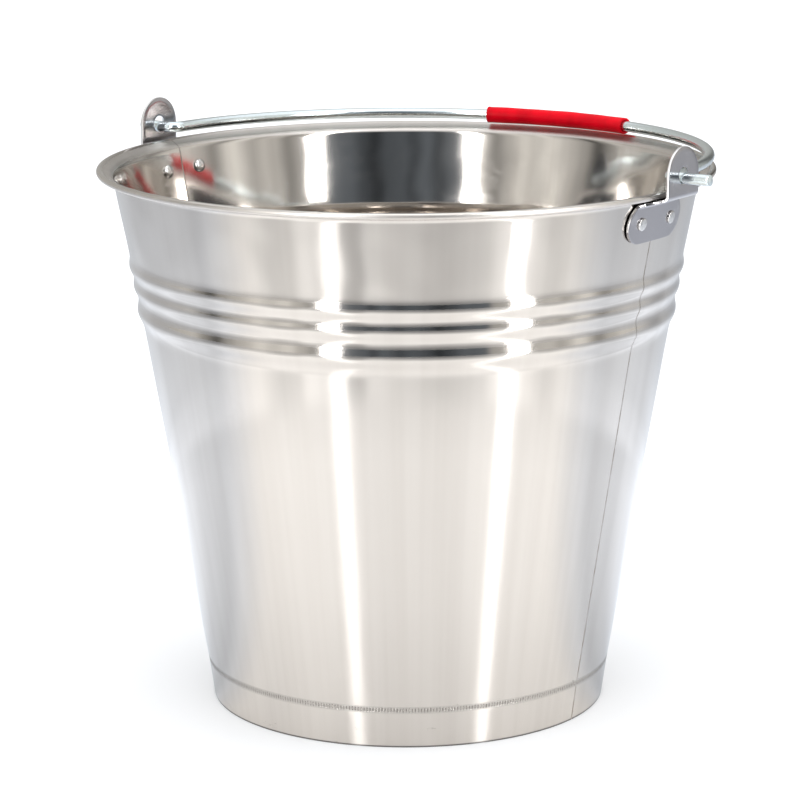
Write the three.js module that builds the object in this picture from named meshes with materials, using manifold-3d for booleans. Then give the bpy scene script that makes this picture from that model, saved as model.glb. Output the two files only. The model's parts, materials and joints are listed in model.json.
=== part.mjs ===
// Stainless milk pail: two seam-welded wall panels, a base pan, two riveted ears and a wire bail with a sleeve grip.
// Millimetres, +Z up. The origin is the middle of the foot circle on the floor, the ears are on the X axis,
// and the bail is folded back on the rim towards +Y.
import * as THREE from "three";
import { mergeVertices } from "three/addons/utils/BufferGeometryUtils.js";
import Module from "manifold-3d";

const wasm = await Module();
wasm.setup();

// ---- Driving dimensions ----

const GAP = 0.3; // left between pieces that touch
const SHEET = 0.7; // wall and floor sheet
const SEGMENTS = 48; // facets round the pail

const RIM_RADIUS = 150; // to the outside of the rim bead
const RIM_HEIGHT = 265; // floor to the top of the rim bead
const FOOT_RADIUS = 97; // outside of the skirt at the floor
const TRACK_HEIGHT = 19.3; // the seam weld that joins the wall to the base pan
const TRACK_RADIUS = 99.8;
const WALL_SLOPE = 0.17; // radius gained for each millimetre of height
const UPPER_SLOPE = 0.195; // the same, above the ribs' middle

const RIB_MIDDLE = 206.8; // middle of the belt of rolled ribs
const RIBS = [
  { height: 195, depth: 1.7, reach: 4.2 }, // the lowest rib is the broadest
  { height: 207.4, depth: 1.3, reach: 3.3 },
  { height: 217.4, depth: 1.3, reach: 3.3 },
];
const BELT_START = 186; // the stretch of wall that is sampled closely
const BELT_END = 225;

const BEAD_RADIUS = 1.6; // the curl on the rim's edge
const CURL_TURN = THREE.MathUtils.degToRad(258);
const FLANGE_ANGLE = THREE.MathUtils.degToRad(28); // rise of the flared flange above level
const FLANGE_BEND = 5;

const FLOOR_HEIGHT = 24; // top of the pan's floor
const PAN_CORNER = 4;
const PAN_FLANGE_END = 15.5; // height of the pan flange's lower edge

const SEAM_WIDTH = 1; // weld metal between the panels

const EAR_SHEET = 1.2;
const PLATE_HEIGHT = 250.2; // middle of the ear's plate
const PLATE_HALF_LENGTH = 22.6;
const PLATE_HALF_WIDTH = 9.5;
const PLATE_END_RISE = THREE.MathUtils.degToRad(50); // where the plate's round end turns into its sloping top
const TAB_RADIUS = 155; // pail's axis to the middle of the upright tab
const TAB_HALF_WIDTH = 13.5;
const TAB_START = 262.3; // height where the tab stands upright
const EAR_HOLE_HEIGHT = 272.2;
const EAR_HOLE_RADIUS = 4.1;
const EAR_BEND = 2.2;
const EAR_FILLET = 4; // round between plate and tab
const NECK_SETBACK = 0.5; // the neck's bend, below the plate's top
const TRIM = 2; // left on a blank beyond the outline that cuts it

const RIVET_OFFSET = 12.7; // each rivet from the middle of the plate
const SHANK_RADIUS = 2;
const OUTER_HEAD_RADIUS = 3.1;
const OUTER_HEAD_HEIGHT = 1.2;
const OUTER_HEAD_EDGE = 0.4; // round on the head's edge
const INNER_HEAD_RADIUS = 3.4;
const INNER_HEAD_HEIGHT = 2;
const INNER_HEAD_FACE = -1.8; // from the wall's outer surface, clear of its curve

const WIRE_RADIUS = 2.7;
const BAIL_RADIUS = 145.2; // to the middle of the wire
const BAIL_SHIFT = 1.3; // the bail lies to one side, within its play in the ears
const PIVOT_HEIGHT = EAR_HOLE_HEIGHT - (EAR_HOLE_RADIUS - WIRE_RADIUS - GAP); // the wire hangs in its hole
const BAIL_BEND = 5;
const RIGHT_TAIL = 14.6; // wire end beyond the middle of each tab
const LEFT_TAIL = 10;
const GRIP_RADIUS = 4.2;
const GRIP_CLEARANCE = 0.36; // between the sleeve and the wire
const GRIP_LENGTH = 84;
const GRIP_SHIFT = -4.5; // along the wire from its middle, towards -X
const BAIL_REST_DROP = PIVOT_HEIGHT - (RIM_HEIGHT + GAP + GRIP_RADIUS); // the grip rests on the rim

const BELT_STEPS = 21;
const CURL_STEPS = 9;
const CORNER_STEPS = 4;
const PLATE_END_STEPS = 8;
const TAB_STEPS = 9;
const HOLE_SIDES = 16;
const RIVET_SIDES = 12;
const DOME_STEPS = 3;
const WIRE_SIDES = 10;
const WIRE_BEND_STEPS = 6;
const BOW_STEPS = 44;
const GRIP_SIDES = 16;
const GRIP_STEPS = 9;

// ---- Solids ----

/** A closed three.js geometry as a manifold solid. */
function toSolid(geometry) {
  const bare = geometry.clone();
  bare.deleteAttribute("normal");
  bare.deleteAttribute("uv");
  const merged = mergeVertices(bare, 1e-4);
  return new wasm.Manifold(
    new wasm.Mesh({
      numProp: 3,
      vertProperties: new Float32Array(merged.attributes.position.array),
      triVerts: new Uint32Array(merged.index.array),
    }),
  );
}

/** A manifold solid as a three.js geometry with flat faces. */
function toGeometry(solid) {
  const { vertProperties, triVerts } = solid.getMesh();
  const indexed = new THREE.BufferGeometry();
  indexed.setAttribute("position", new THREE.BufferAttribute(vertProperties, 3));
  indexed.setIndex(new THREE.BufferAttribute(triVerts, 1));
  const flat = indexed.toNonIndexed();
  flat.computeVertexNormals();
  return flat;
}

/** A box between two corners, as a solid. */
function block(low, high) {
  const size = new THREE.Vector3().subVectors(high, low);
  const middle = new THREE.Vector3().addVectors(high, low).multiplyScalar(0.5);
  return toSolid(new THREE.BoxGeometry(size.x, size.y, size.z).translate(middle.x, middle.y, middle.z));
}

/** The strip of sheet along a centreline of Vector2: its right side from start to end, then its left side back. */
function sheetOutline(centreline, thickness) {
  const last = centreline.length - 1;
  const side = (sign) =>
    centreline.map((point, i) => {
      const before = new THREE.Vector2().subVectors(point, centreline[Math.max(i - 1, 0)]).normalize();
      const after = new THREE.Vector2().subVectors(centreline[Math.min(i + 1, last)], point).normalize();
      const along = new THREE.Vector2().addVectors(before, after).normalize();
      return new THREE.Vector2(along.y, -along.x).multiplyScalar((sign * thickness) / 2).add(point);
    });
  return [...side(1), ...side(-1).reverse()];
}

/** A profile of (radius, height) points turned once round the Z axis. */
function turned(profile, segments) {
  return new THREE.LatheGeometry(profile, segments).rotateX(Math.PI / 2);
}

/** Points of an arc about a centre, from one angle to another, both ends included. */
function arcPoints(centre, radius, from, to, steps) {
  return Array.from({ length: steps + 1 }, (_, i) => {
    const angle = from + ((to - from) * i) / steps;
    return new THREE.Vector2(centre.x + radius * Math.cos(angle), centre.y + radius * Math.sin(angle));
  });
}

/** The corners of a regular polygon, as a round section or hole. */
function circlePoints(centre, radius, sides) {
  return arcPoints(centre, radius, 0, (2 * Math.PI * (sides - 1)) / sides, sides - 1);
}

/** The round that joins two headings at a corner, from the tangent point before it to the one after it. */
function roundedCorner(corner, headingIn, headingOut, radius, steps = CORNER_STEPS) {
  const turn = headingOut - headingIn;
  const setback = radius * Math.tan(Math.abs(turn) / 2);
  const start = new THREE.Vector2(
    corner.x - setback * Math.cos(headingIn),
    corner.y - setback * Math.sin(headingIn),
  );
  const side = Math.sign(turn);
  const centre = new THREE.Vector2(
    start.x - side * radius * Math.sin(headingIn),
    start.y + side * radius * Math.cos(headingIn),
  );
  const first = headingIn - (side * Math.PI) / 2;
  return arcPoints(centre, radius, first, first + turn, steps);
}

// ---- Wall ----

/** Radius of the wall's outer surface at a height between the weld track and the flange. */
function wallRadius(height) {
  const lower = WALL_SLOPE * (Math.min(height, RIB_MIDDLE) - TRACK_HEIGHT);
  const upper = UPPER_SLOPE * Math.max(height - RIB_MIDDLE, 0);
  const swell = (rib) => rib.depth * Math.exp(-(((height - rib.height) / rib.reach) ** 2));
  return RIBS.reduce((radius, rib) => radius + swell(rib), TRACK_RADIUS + lower + upper);
}

const skirtSlope = (TRACK_RADIUS - FOOT_RADIUS) / TRACK_HEIGHT;

/** Middle of the wall's sheet from just under the floor to the end of the rim curl. */
function wallCentreline() {
  const half = SHEET / 2;
  const curlRadius = BEAD_RADIUS - half;
  const curlCentre = new THREE.Vector2(RIM_RADIUS - BEAD_RADIUS, RIM_HEIGHT - BEAD_RADIUS);
  const curlStart = FLANGE_ANGLE + Math.PI / 2;
  const flangeEnd = arcPoints(curlCentre, curlRadius, curlStart, curlStart, 1)[0];

  // the flange's line meets the upper wall's line, carried down to the floor, at the corner
  const rise = Math.tan(FLANGE_ANGLE);
  const wallAtZero = wallRadius(BELT_END) - half - UPPER_SLOPE * BELT_END;
  const cornerHeight =
    (flangeEnd.y + rise * (wallAtZero - flangeEnd.x)) / (1 - rise * UPPER_SLOPE);
  const corner = new THREE.Vector2(wallAtZero + UPPER_SLOPE * cornerHeight, cornerHeight);
  const wallHeading = Math.atan2(1, UPPER_SLOPE);

  const points = [
    new THREE.Vector2(FOOT_RADIUS - half - skirtSlope, -1), // cut off level at the floor
    new THREE.Vector2(TRACK_RADIUS - half, TRACK_HEIGHT),
  ];
  for (let i = 0; i <= BELT_STEPS; i++) {
    const height = BELT_START + ((BELT_END - BELT_START) * i) / BELT_STEPS;
    points.push(new THREE.Vector2(wallRadius(height) - half, height));
  }
  points.push(...roundedCorner(corner, wallHeading, FLANGE_ANGLE, FLANGE_BEND));
  points.push(...arcPoints(curlCentre, curlRadius, curlStart, curlStart - CURL_TURN, CURL_STEPS));
  return points;
}

const wallOutline = sheetOutline(wallCentreline(), SHEET);
const wallShell = toSolid(turned([...wallOutline, wallOutline[0]], SEGMENTS));

// ---- Ears and rivets, on the +X side; the -X side is half a turn round ----

const plateLean = Math.atan(UPPER_SLOPE); // the ear's plate leans out with the wall

/** A point given on the plate: outward from the wall's surface, along the rim, and up the plate. */
function onPlate(geometry) {
  return geometry.rotateY(plateLean).translate(wallRadius(PLATE_HEIGHT), 0, PLATE_HEIGHT);
}

/** A cylinder through the wall and the plate along the rivet's axis, at a distance along the rim. */
function rivetBore(radius, offset) {
  const length = 20;
  const bar = new THREE.CylinderGeometry(radius, radius, length, RIVET_SIDES).rotateZ(Math.PI / 2);
  return toSolid(onPlate(bar.translate(0, offset, 0)));
}

/** Front outline of the ear in (along the rim, height). */
function earOutline() {
  const plateTop = PLATE_HEIGHT + PLATE_HALF_WIDTH;
  const straight = PLATE_HALF_LENGTH - PLATE_HALF_WIDTH;
  const quarter = Math.PI / 2;
  const filletX = TAB_HALF_WIDTH + EAR_FILLET;
  const plateEnd = new THREE.Vector2(straight, PLATE_HEIGHT);
  const fillet = new THREE.Vector2(filletX, plateTop + EAR_FILLET);
  const hole = new THREE.Vector2(0, EAR_HOLE_HEIGHT);
  const rightHalf = [
    ...arcPoints(plateEnd, PLATE_HALF_WIDTH, -quarter, PLATE_END_RISE, PLATE_END_STEPS),
    ...arcPoints(fillet, EAR_FILLET, 3 * quarter, 2 * quarter, CORNER_STEPS),
    ...arcPoints(hole, TAB_HALF_WIDTH, 0, quarter, TAB_STEPS),
  ];
  const leftHalf = rightHalf
    .slice(0, -1)
    .reverse()
    .map((point) => new THREE.Vector2(-point.x, point.y));
  return new THREE.Shape([...rightHalf, ...leftHalf]);
}

/** Middle of the ear's sheet seen from the side, in (distance from the pail's axis, height). */
function earCentreline() {
  const upPlate = new THREE.Vector2(Math.sin(plateLean), Math.cos(plateLean));
  const outward = new THREE.Vector2(Math.cos(plateLean), -Math.sin(plateLean));
  const middle = new THREE.Vector2(wallRadius(PLATE_HEIGHT), PLATE_HEIGHT).addScaledVector(
    outward,
    GAP + EAR_SHEET / 2,
  );
  const foot = middle.clone().addScaledVector(upPlate, -PLATE_HALF_WIDTH - TRIM);
  const neckStart = middle.clone().addScaledVector(upPlate, PLATE_HALF_WIDTH - NECK_SETBACK);
  const neckEnd = new THREE.Vector2(TAB_RADIUS, TAB_START);
  const upright = Math.PI / 2;
  const neckHeading = Math.atan2(neckEnd.y - neckStart.y, neckEnd.x - neckStart.x);
  return [
    foot,
    ...roundedCorner(neckStart, upright - plateLean, neckHeading, EAR_BEND),
    ...roundedCorner(neckEnd, neckHeading, upright, EAR_BEND),
    new THREE.Vector2(TAB_RADIUS, EAR_HOLE_HEIGHT + TAB_HALF_WIDTH + TRIM),
  ];
}

/** One stamped ear: a bent strip of sheet cut to the front outline, with its bail hole and rivet holes. */
function ear() {
  const width = 2 * (PLATE_HALF_LENGTH + TRIM);
  const strip = new THREE.ExtrudeGeometry(new THREE.Shape(sheetOutline(earCentreline(), EAR_SHEET)), {
    depth: width,
    bevelEnabled: false,
  });
  strip.rotateX(Math.PI / 2).translate(0, width / 2, 0);

  // the hole's flat sides, not its corners, lie at its radius
  const outline = earOutline();
  const cornerRadius = EAR_HOLE_RADIUS / Math.cos(Math.PI / HOLE_SIDES);
  const hole = circlePoints(new THREE.Vector2(0, EAR_HOLE_HEIGHT), cornerRadius, HOLE_SIDES);
  outline.holes.push(new THREE.Path(hole));
  const depth = 60; // through the plate and the tab
  const cutter = new THREE.ExtrudeGeometry(outline, { depth, bevelEnabled: false });
  cutter.rotateX(Math.PI / 2).rotateZ(Math.PI / 2).translate(TAB_RADIUS - depth / 2, 0, 0);

  let solid = toSolid(strip).intersect(toSolid(cutter));
  for (const side of [-1, 1]) solid = solid.subtract(rivetBore(SHANK_RADIUS + GAP, side * RIVET_OFFSET));
  return toGeometry(solid);
}

/** One rivet: a low head outside, a shank, and a domed head inside, turned about its own axis. */
function rivet(offset) {
  const outerFace = GAP + EAR_SHEET + GAP;
  const top = outerFace + OUTER_HEAD_HEIGHT;
  const dome = Array.from({ length: DOME_STEPS + 1 }, (_, i) => {
    const angle = (Math.PI * i) / (2 * DOME_STEPS);
    return new THREE.Vector2(
      INNER_HEAD_RADIUS * Math.sin(angle),
      INNER_HEAD_FACE - INNER_HEAD_HEIGHT * Math.cos(angle),
    );
  });
  dome[0].x = 0;
  const profile = [
    ...dome,
    new THREE.Vector2(SHANK_RADIUS, INNER_HEAD_FACE),
    new THREE.Vector2(SHANK_RADIUS, outerFace),
    new THREE.Vector2(OUTER_HEAD_RADIUS, outerFace),
    new THREE.Vector2(OUTER_HEAD_RADIUS, top - OUTER_HEAD_EDGE),
    new THREE.Vector2(OUTER_HEAD_RADIUS - OUTER_HEAD_EDGE, top),
    new THREE.Vector2(0, top),
  ];
  const body = new THREE.LatheGeometry(profile, RIVET_SIDES).rotateZ(-Math.PI / 2).translate(0, offset, 0);
  return onPlate(body);
}

// ---- Base pan ----

/** The pressed floor with its flange turned down along the inside of the wall. */
function basePan() {
  const half = SHEET / 2;
  const inside = SHEET + GAP + half; // from the wall's outer surface to the middle of the flange
  const trackInside = TRACK_RADIUS - inside;
  const floor = FLOOR_HEIGHT - half;
  const corner = new THREE.Vector2(wallRadius(floor) - inside, floor);
  const down = -Math.PI / 2 - Math.atan(WALL_SLOPE); // along the wall, downwards and inwards
  const centreline = [
    new THREE.Vector2(0, floor),
    ...roundedCorner(corner, 0, down, PAN_CORNER),
    new THREE.Vector2(trackInside, TRACK_HEIGHT),
    new THREE.Vector2(trackInside - skirtSlope * (TRACK_HEIGHT - PAN_FLANGE_END), PAN_FLANGE_END),
  ];
  const profile = sheetOutline(centreline, SHEET);
  profile[0].x = 0;
  profile[profile.length - 1].x = 0;
  return turned(profile, SEGMENTS);
}

// ---- Bail ----

/** A curve through points whose parameter steps evenly from point to point, so short bends keep their points. */
class StationCurve extends THREE.Curve {
  constructor(stations) {
    super();
    this.stations = stations;
  }

  getUtoTmapping(u) {
    return u;
  }

  getPoint(t, target = new THREE.Vector3()) {
    const place = THREE.MathUtils.clamp(t, 0, 1) * (this.stations.length - 1);
    const i = Math.min(Math.floor(place), this.stations.length - 2);
    return target.lerpVectors(this.stations[i], this.stations[i + 1], place - i);
  }
}

/** The section carried along stations. */
function swept(shape, stations) {
  return new THREE.ExtrudeGeometry(shape, {
    steps: stations.length - 1,
    extrudePath: new StationCurve(stations),
    bevelEnabled: false,
  });
}

/** Stations on the bail's bow, in its own plane with the hinge axis as X. */
function bowStations(from, to, steps) {
  return arcPoints(new THREE.Vector2(0, 0), BAIL_RADIUS, from, to, steps).map(
    (point) => new THREE.Vector3(point.x, point.y, 0),
  );
}

/** Stations of one end: the straight tail from its cut end in through the ear, then the bend up to the bow. */
function endStations(cutEnd) {
  const centre = new THREE.Vector2(BAIL_RADIUS + BAIL_BEND, BAIL_BEND);
  const bend = arcPoints(centre, BAIL_BEND, -Math.PI / 2, -Math.PI, WIRE_BEND_STEPS);
  return [new THREE.Vector2(cutEnd, 0), ...bend].map((point) => new THREE.Vector3(point.x, point.y, 0));
}

const bailTilt = -Math.asin(BAIL_REST_DROP / BAIL_RADIUS);

/** Places a piece of the bail, drawn in the bow's plane, at the hinge in its rest position. */
function onBail(geometry) {
  return geometry.rotateX(bailTilt).translate(BAIL_SHIFT, 0, PIVOT_HEIGHT);
}

/** The whole wire: right tail, bend, bow, bend and left tail. */
function bailWire() {
  const clear = Math.asin((2 * BAIL_BEND) / BAIL_RADIUS); // the bow starts above the bend
  const right = endStations(TAB_RADIUS + RIGHT_TAIL - BAIL_SHIFT);
  const left = endStations(TAB_RADIUS + LEFT_TAIL + BAIL_SHIFT)
    .reverse()
    .map((station) => new THREE.Vector3(-station.x, station.y, 0));
  const stations = [...right, ...bowStations(clear, Math.PI - clear, BOW_STEPS), ...left];
  const section = circlePoints(new THREE.Vector2(0, 0), WIRE_RADIUS, WIRE_SIDES);
  return onBail(swept(new THREE.Shape(section), stations));
}

/** The sleeve on the middle of the bow. */
function gripSleeve() {
  const middle = Math.PI / 2 - GRIP_SHIFT / BAIL_RADIUS;
  const half = GRIP_LENGTH / 2 / BAIL_RADIUS;
  const axis = new THREE.Vector2(0, 0);
  const ring = new THREE.Shape(circlePoints(axis, GRIP_RADIUS, GRIP_SIDES));
  ring.holes.push(new THREE.Path(circlePoints(axis, WIRE_RADIUS + GRIP_CLEARANCE, GRIP_SIDES)));
  return onBail(swept(ring, bowStations(middle - half, middle + half, GRIP_STEPS)));
}

// ---- Assembly ----

const steel = (roughness) => new THREE.MeshStandardMaterial({ color: 0xc4c2bd, roughness, metalness: 1 });
const finishes = {
  wall: steel(0.14),
  weld: steel(0.35),
  pan: steel(0.25),
  ear: steel(0.3),
  rivet: steel(0.25),
  zinc: new THREE.MeshStandardMaterial({ color: 0xb9c4c8, roughness: 0.25, metalness: 1 }),
  grip: new THREE.MeshStandardMaterial({ color: 0xd80f1e, roughness: 0.3, metalness: 0 }),
};

const pail = new THREE.Group();

/** Adds a named piece to the pail, turned round its axis if it belongs on another side. */
function add(name, geometry, finish, turn = 0) {
  const mesh = new THREE.Mesh(geometry, finishes[finish]);
  mesh.name = name;
  mesh.rotation.z = turn;
  pail.add(mesh);
}

const REACH = 2 * RIM_RADIUS; // larger than the pail
const seamEdge = SEAM_WIDTH / 2 + GAP;
const rearHalf = block(new THREE.Vector3(-REACH, seamEdge, 0), new THREE.Vector3(REACH, REACH, REACH));
const frontHalf = block(new THREE.Vector3(-REACH, -REACH, 0), new THREE.Vector3(REACH, -seamEdge, REACH));

/** One wall panel with its rivet hole beside each seam. */
function panel(half, side) {
  const right = rivetBore(SHANK_RADIUS + GAP, side * RIVET_OFFSET);
  const left = rivetBore(SHANK_RADIUS + GAP, -side * RIVET_OFFSET).rotate([0, 0, 180]);
  return toGeometry(wallShell.intersect(half).subtract(right).subtract(left));
}

/** The weld metal between the panels on the +X side. */
function seamWeld() {
  const slot = block(
    new THREE.Vector3(0, -SEAM_WIDTH / 2, 0),
    new THREE.Vector3(REACH, SEAM_WIDTH / 2, REACH),
  );
  return toGeometry(wallShell.intersect(slot));
}

add("front_body_panel", panel(frontHalf, -1), "wall");
add("rear_body_panel", panel(rearHalf, 1), "wall");
add("base_pan", basePan(), "pan");
for (const [side, turn] of [
  ["right", 0],
  ["left", Math.PI],
]) {
  const frontSign = side === "right" ? -1 : 1;
  add(`${side}_seam_weld`, seamWeld(), "weld", turn);
  add(`${side}_ear`, ear(), "ear", turn);
  add(`${side}_front_rivet`, rivet(frontSign * RIVET_OFFSET), "rivet", turn);
  add(`${side}_rear_rivet`, rivet(-frontSign * RIVET_OFFSET), "rivet", turn);
}
add("bail", bailWire(), "zinc");
add("grip", gripSleeve(), "grip");

export default pail;
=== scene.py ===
"""Looks of a stainless steel milk pail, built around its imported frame.

Metres, +Z up. The pail stands on the floor with its axis on Z, its ears are on the X axis, and its bail lies
back on the rim towards +Y. Sizes in the classes are millimetres, as on a maker's drawing, and MM turns them
into metres.
"""
import json
import logging
import math
from dataclasses import dataclass, field
from enum import Enum
from typing import Optional, Sequence

import bmesh
import bpy
import numpy as np
from mathutils import Matrix, Vector


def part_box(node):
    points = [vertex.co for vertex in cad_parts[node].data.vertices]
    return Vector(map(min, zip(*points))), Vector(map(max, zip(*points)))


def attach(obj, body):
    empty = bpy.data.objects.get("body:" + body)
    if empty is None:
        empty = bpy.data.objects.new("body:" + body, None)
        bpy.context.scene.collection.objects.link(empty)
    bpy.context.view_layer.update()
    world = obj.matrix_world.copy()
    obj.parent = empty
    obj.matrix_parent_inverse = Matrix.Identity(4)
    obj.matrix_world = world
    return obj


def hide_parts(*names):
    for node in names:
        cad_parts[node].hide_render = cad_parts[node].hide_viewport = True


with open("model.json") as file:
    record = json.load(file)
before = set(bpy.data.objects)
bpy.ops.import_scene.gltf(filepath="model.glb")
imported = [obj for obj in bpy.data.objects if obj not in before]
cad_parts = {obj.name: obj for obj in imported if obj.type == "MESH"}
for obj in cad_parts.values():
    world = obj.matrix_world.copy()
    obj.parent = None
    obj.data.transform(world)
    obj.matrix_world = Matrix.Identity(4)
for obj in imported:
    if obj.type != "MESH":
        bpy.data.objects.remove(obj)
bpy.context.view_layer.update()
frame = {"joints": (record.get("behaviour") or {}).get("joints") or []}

logging.basicConfig(level=logging.INFO, format="%(message)s")
LOG = logging.getLogger("milk_pail")

MM = 0.001
FULL_TURN = 2.0 * math.pi
SHEARED_ANGLE = math.radians(50.0)
SHEARED_LIMIT = 0.15


class Body(Enum):
    """The bodies that pieces ride on."""

    PAIL = "pail"
    BAIL = "bail"


class Slot(Enum):
    """The record's material slots."""

    POLISHED_STEEL = "polished_steel"
    SEAM_WELD = "seam_weld"
    PAN_STEEL = "pan_steel"
    EAR_STEEL = "ear_steel"
    RIVET_STEEL = "rivet_steel"
    ZINC_WIRE = "zinc_wire"
    GRIP_PLASTIC = "grip_plastic"


class Side(Enum):
    """A side of the pail, with the sign of X there."""

    RIGHT = 1.0
    LEFT = -1.0


# ---- Curves and meshes ----


def arc(centre: Sequence[float], radius: float, start: float, end: float, count: int) -> np.ndarray:
    """Points of a circular arc: the centre plus the radius times (cosine, sine) of evenly spaced angles.

    Args:
        centre: The arc's centre.
        radius: Its radius.
        start: First angle in radians.
        end: Last angle in radians.
        count: Number of points, both ends included.

    Returns:
        An array of count rows of two coordinates.
    """
    angles = np.linspace(start, end, count)
    return np.stack([centre[0] + radius * np.cos(angles), centre[1] + radius * np.sin(angles)], axis=1)


def rounded_corner(
    corner: Sequence[float], heading_in: float, heading_out: float, radius: float, count: int
) -> np.ndarray:
    """The arc tangent to two headings at their corner, which starts radius * tan(half the turn) before it.

    Args:
        corner: Where the two straight lines meet.
        heading_in: Direction of the first line in radians.
        heading_out: Direction of the second line in radians.
        radius: The round's radius.
        count: Number of points.

    Returns:
        Points from the first tangent point to the second.
    """
    turn = heading_out - heading_in
    side = math.copysign(1.0, turn)
    setback = radius * math.tan(abs(turn) / 2.0)
    start = (corner[0] - setback * math.cos(heading_in), corner[1] - setback * math.sin(heading_in))
    inwards = (-side * math.sin(heading_in), side * math.cos(heading_in))
    centre = (start[0] + radius * inwards[0], start[1] + radius * inwards[1])
    first = heading_in - side * math.pi / 2.0
    return arc(centre, radius, first, first + turn, count)


def headings(line: np.ndarray) -> np.ndarray:
    """Unit direction at each point of a line: the mean of the directions of the steps before and after it.

    Args:
        line: Rows of two or three coordinates.

    Returns:
        One unit row for each point.
    """
    steps = np.diff(line, axis=0)
    steps /= np.linalg.norm(steps, axis=1, keepdims=True)
    both = np.concatenate([steps[:1], steps]) + np.concatenate([steps, steps[-1:]])
    return both / np.linalg.norm(both, axis=1, keepdims=True)


def ribbon(centreline: np.ndarray, thickness: float) -> np.ndarray:
    """Outline of sheet seen edge on: the centreline moved half the thickness to its right, then to its left.

    Args:
        centreline: Rows of two coordinates.
        thickness: The sheet's thickness.

    Returns:
        The outline, out along the right side and back along the left.
    """
    along = headings(centreline)
    side = np.stack([along[:, 1], -along[:, 0]], axis=1) * (thickness / 2.0)
    return np.concatenate([centreline + side, (centreline - side)[::-1]])


def grid_quads(rows: int, columns: int, wrap_rows: bool = False, wrap_columns: bool = False) -> np.ndarray:
    """Quads that join each point of a grid to its neighbours in the next row and column.

    Args:
        rows: Points in the first direction.
        columns: Points in the second direction.
        wrap_rows: True where the last row joins the first.
        wrap_columns: True where the last column joins the first.

    Returns:
        Four point indices a quad, with index = row * columns + column.
    """
    row, column = np.meshgrid(
        np.arange(rows if wrap_rows else rows - 1),
        np.arange(columns if wrap_columns else columns - 1),
        indexing="ij",
    )
    next_row = (row + 1) % rows
    next_column = (column + 1) % columns
    corners = [
        row * columns + column,
        row * columns + next_column,
        next_row * columns + next_column,
        next_row * columns + column,
    ]
    return np.stack(corners, axis=-1).reshape(-1, 4)


def signed_volume(points: np.ndarray, quads: np.ndarray) -> float:
    """Sum over the faces' triangles of corner . (corner x corner) / 6.

    Args:
        points: Rows of x, y, z.
        quads: Rows of four point indices.

    Returns:
        The volume, negative if the faces look inwards.
    """
    a, b, c, d = (points[quads[:, i]] for i in range(4))
    total = np.einsum("ij,ij->", a, np.cross(b, c)) + np.einsum("ij,ij->", a, np.cross(c, d))
    return float(total) / 6.0


def mesh_piece(
    name: str,
    points: np.ndarray,
    quads: np.ndarray,
    closed: bool = True,
    sharp_angle: float = 32.0,
    weld: bool = False,
) -> bpy.types.Object:
    """Makes an object of points in millimetres.

    Args:
        name: The piece's name.
        points: Rows of x, y, z.
        quads: Rows of four point indices.
        closed: True for a closed solid, whose faces are then turned outwards.
        sharp_angle: Edges that turn by more than this many degrees stay sharp.
        weld: True where rings of points shrink to a pole, or two edges meet, and are merged.

    Returns:
        The new object, linked to the scene at the origin.
    """
    if closed and signed_volume(points, quads) < 0.0:
        quads = quads[:, ::-1]
    mesh = bpy.data.meshes.new(name)
    mesh.from_pydata((points * MM).tolist(), [], quads.tolist())
    if weld:
        work = bmesh.new()
        work.from_mesh(mesh)
        bmesh.ops.remove_doubles(work, verts=work.verts, dist=1e-7)
        bmesh.ops.dissolve_degenerate(work, edges=work.edges, dist=1e-8)
        work.to_mesh(mesh)
        work.free()
    mesh.validate()
    smooth(mesh, sharp_angle)
    piece = bpy.data.objects.new(name, mesh)
    bpy.context.scene.collection.objects.link(piece)
    return piece


def smooth(mesh: bpy.types.Mesh, sharp_angle: float) -> None:
    """Shades a mesh smooth, except over its sharp edges.

    Args:
        mesh: The mesh.
        sharp_angle: Edges that turn by more than this many degrees stay sharp.
    """
    mesh.polygons.foreach_set("use_smooth", np.ones(len(mesh.polygons), dtype=bool))
    mesh.set_sharp_from_angle(angle=math.radians(sharp_angle))
    mesh.update()


def turned(name: str, outline: np.ndarray, segments: int) -> bpy.types.Object:
    """Turns a closed outline of (radius, height) round the Z axis, as (r cos a, r sin a, height).

    Args:
        name: The piece's name.
        outline: The outline, whose last point joins the first. Points of radius 0 close at the axis.
        segments: Steps round the axis.

    Returns:
        The new object.
    """
    angles = np.arange(segments) * (FULL_TURN / segments)
    radius = outline[:, :1]
    height = np.broadcast_to(outline[:, 1:], (len(outline), segments))
    points = np.stack([radius * np.cos(angles), radius * np.sin(angles), height], axis=-1)
    quads = grid_quads(len(outline), segments, wrap_rows=True, wrap_columns=True)
    return mesh_piece(name, points.reshape(-1, 3), quads, weld=bool(outline[:, 0].min() <= 0.0))


def swept_round(
    name: str, path: np.ndarray, upright: np.ndarray, radii: np.ndarray, sides: int, slant: np.ndarray
) -> bpy.types.Object:
    """Carries a circle along a path that lies in one plane.

    Each ring is the path's point plus the radius times (cosine times the plane's normal plus sine times the
    sideways direction), moved along the path by the slant times the cosine.

    Args:
        name: The piece's name.
        path: Rows of x, y, z in millimetres.
        upright: Unit normal of the path's plane.
        radii: The circle's radius at each point, 0 where the surface closes to a pole.
        sides: Points round the circle.
        slant: How far each ring leans along the path, for cuts that aren't square.

    Returns:
        The new object.
    """
    along = headings(path)
    sideways = np.cross(along, upright)
    angles = np.arange(sides) * (FULL_TURN / sides)
    ring = np.cos(angles)[None, :, None] * upright + np.sin(angles)[None, :, None] * sideways[:, None, :]
    lean = (slant[:, None] * np.cos(angles)[None, :] * (radii > 0.0)[:, None])[:, :, None] * along[:, None, :]
    points = path[:, None, :] + radii[:, None, None] * ring + lean
    quads = grid_quads(len(path), sides, wrap_columns=True)
    return mesh_piece(name, points.reshape(-1, 3), quads, weld=True)


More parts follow.
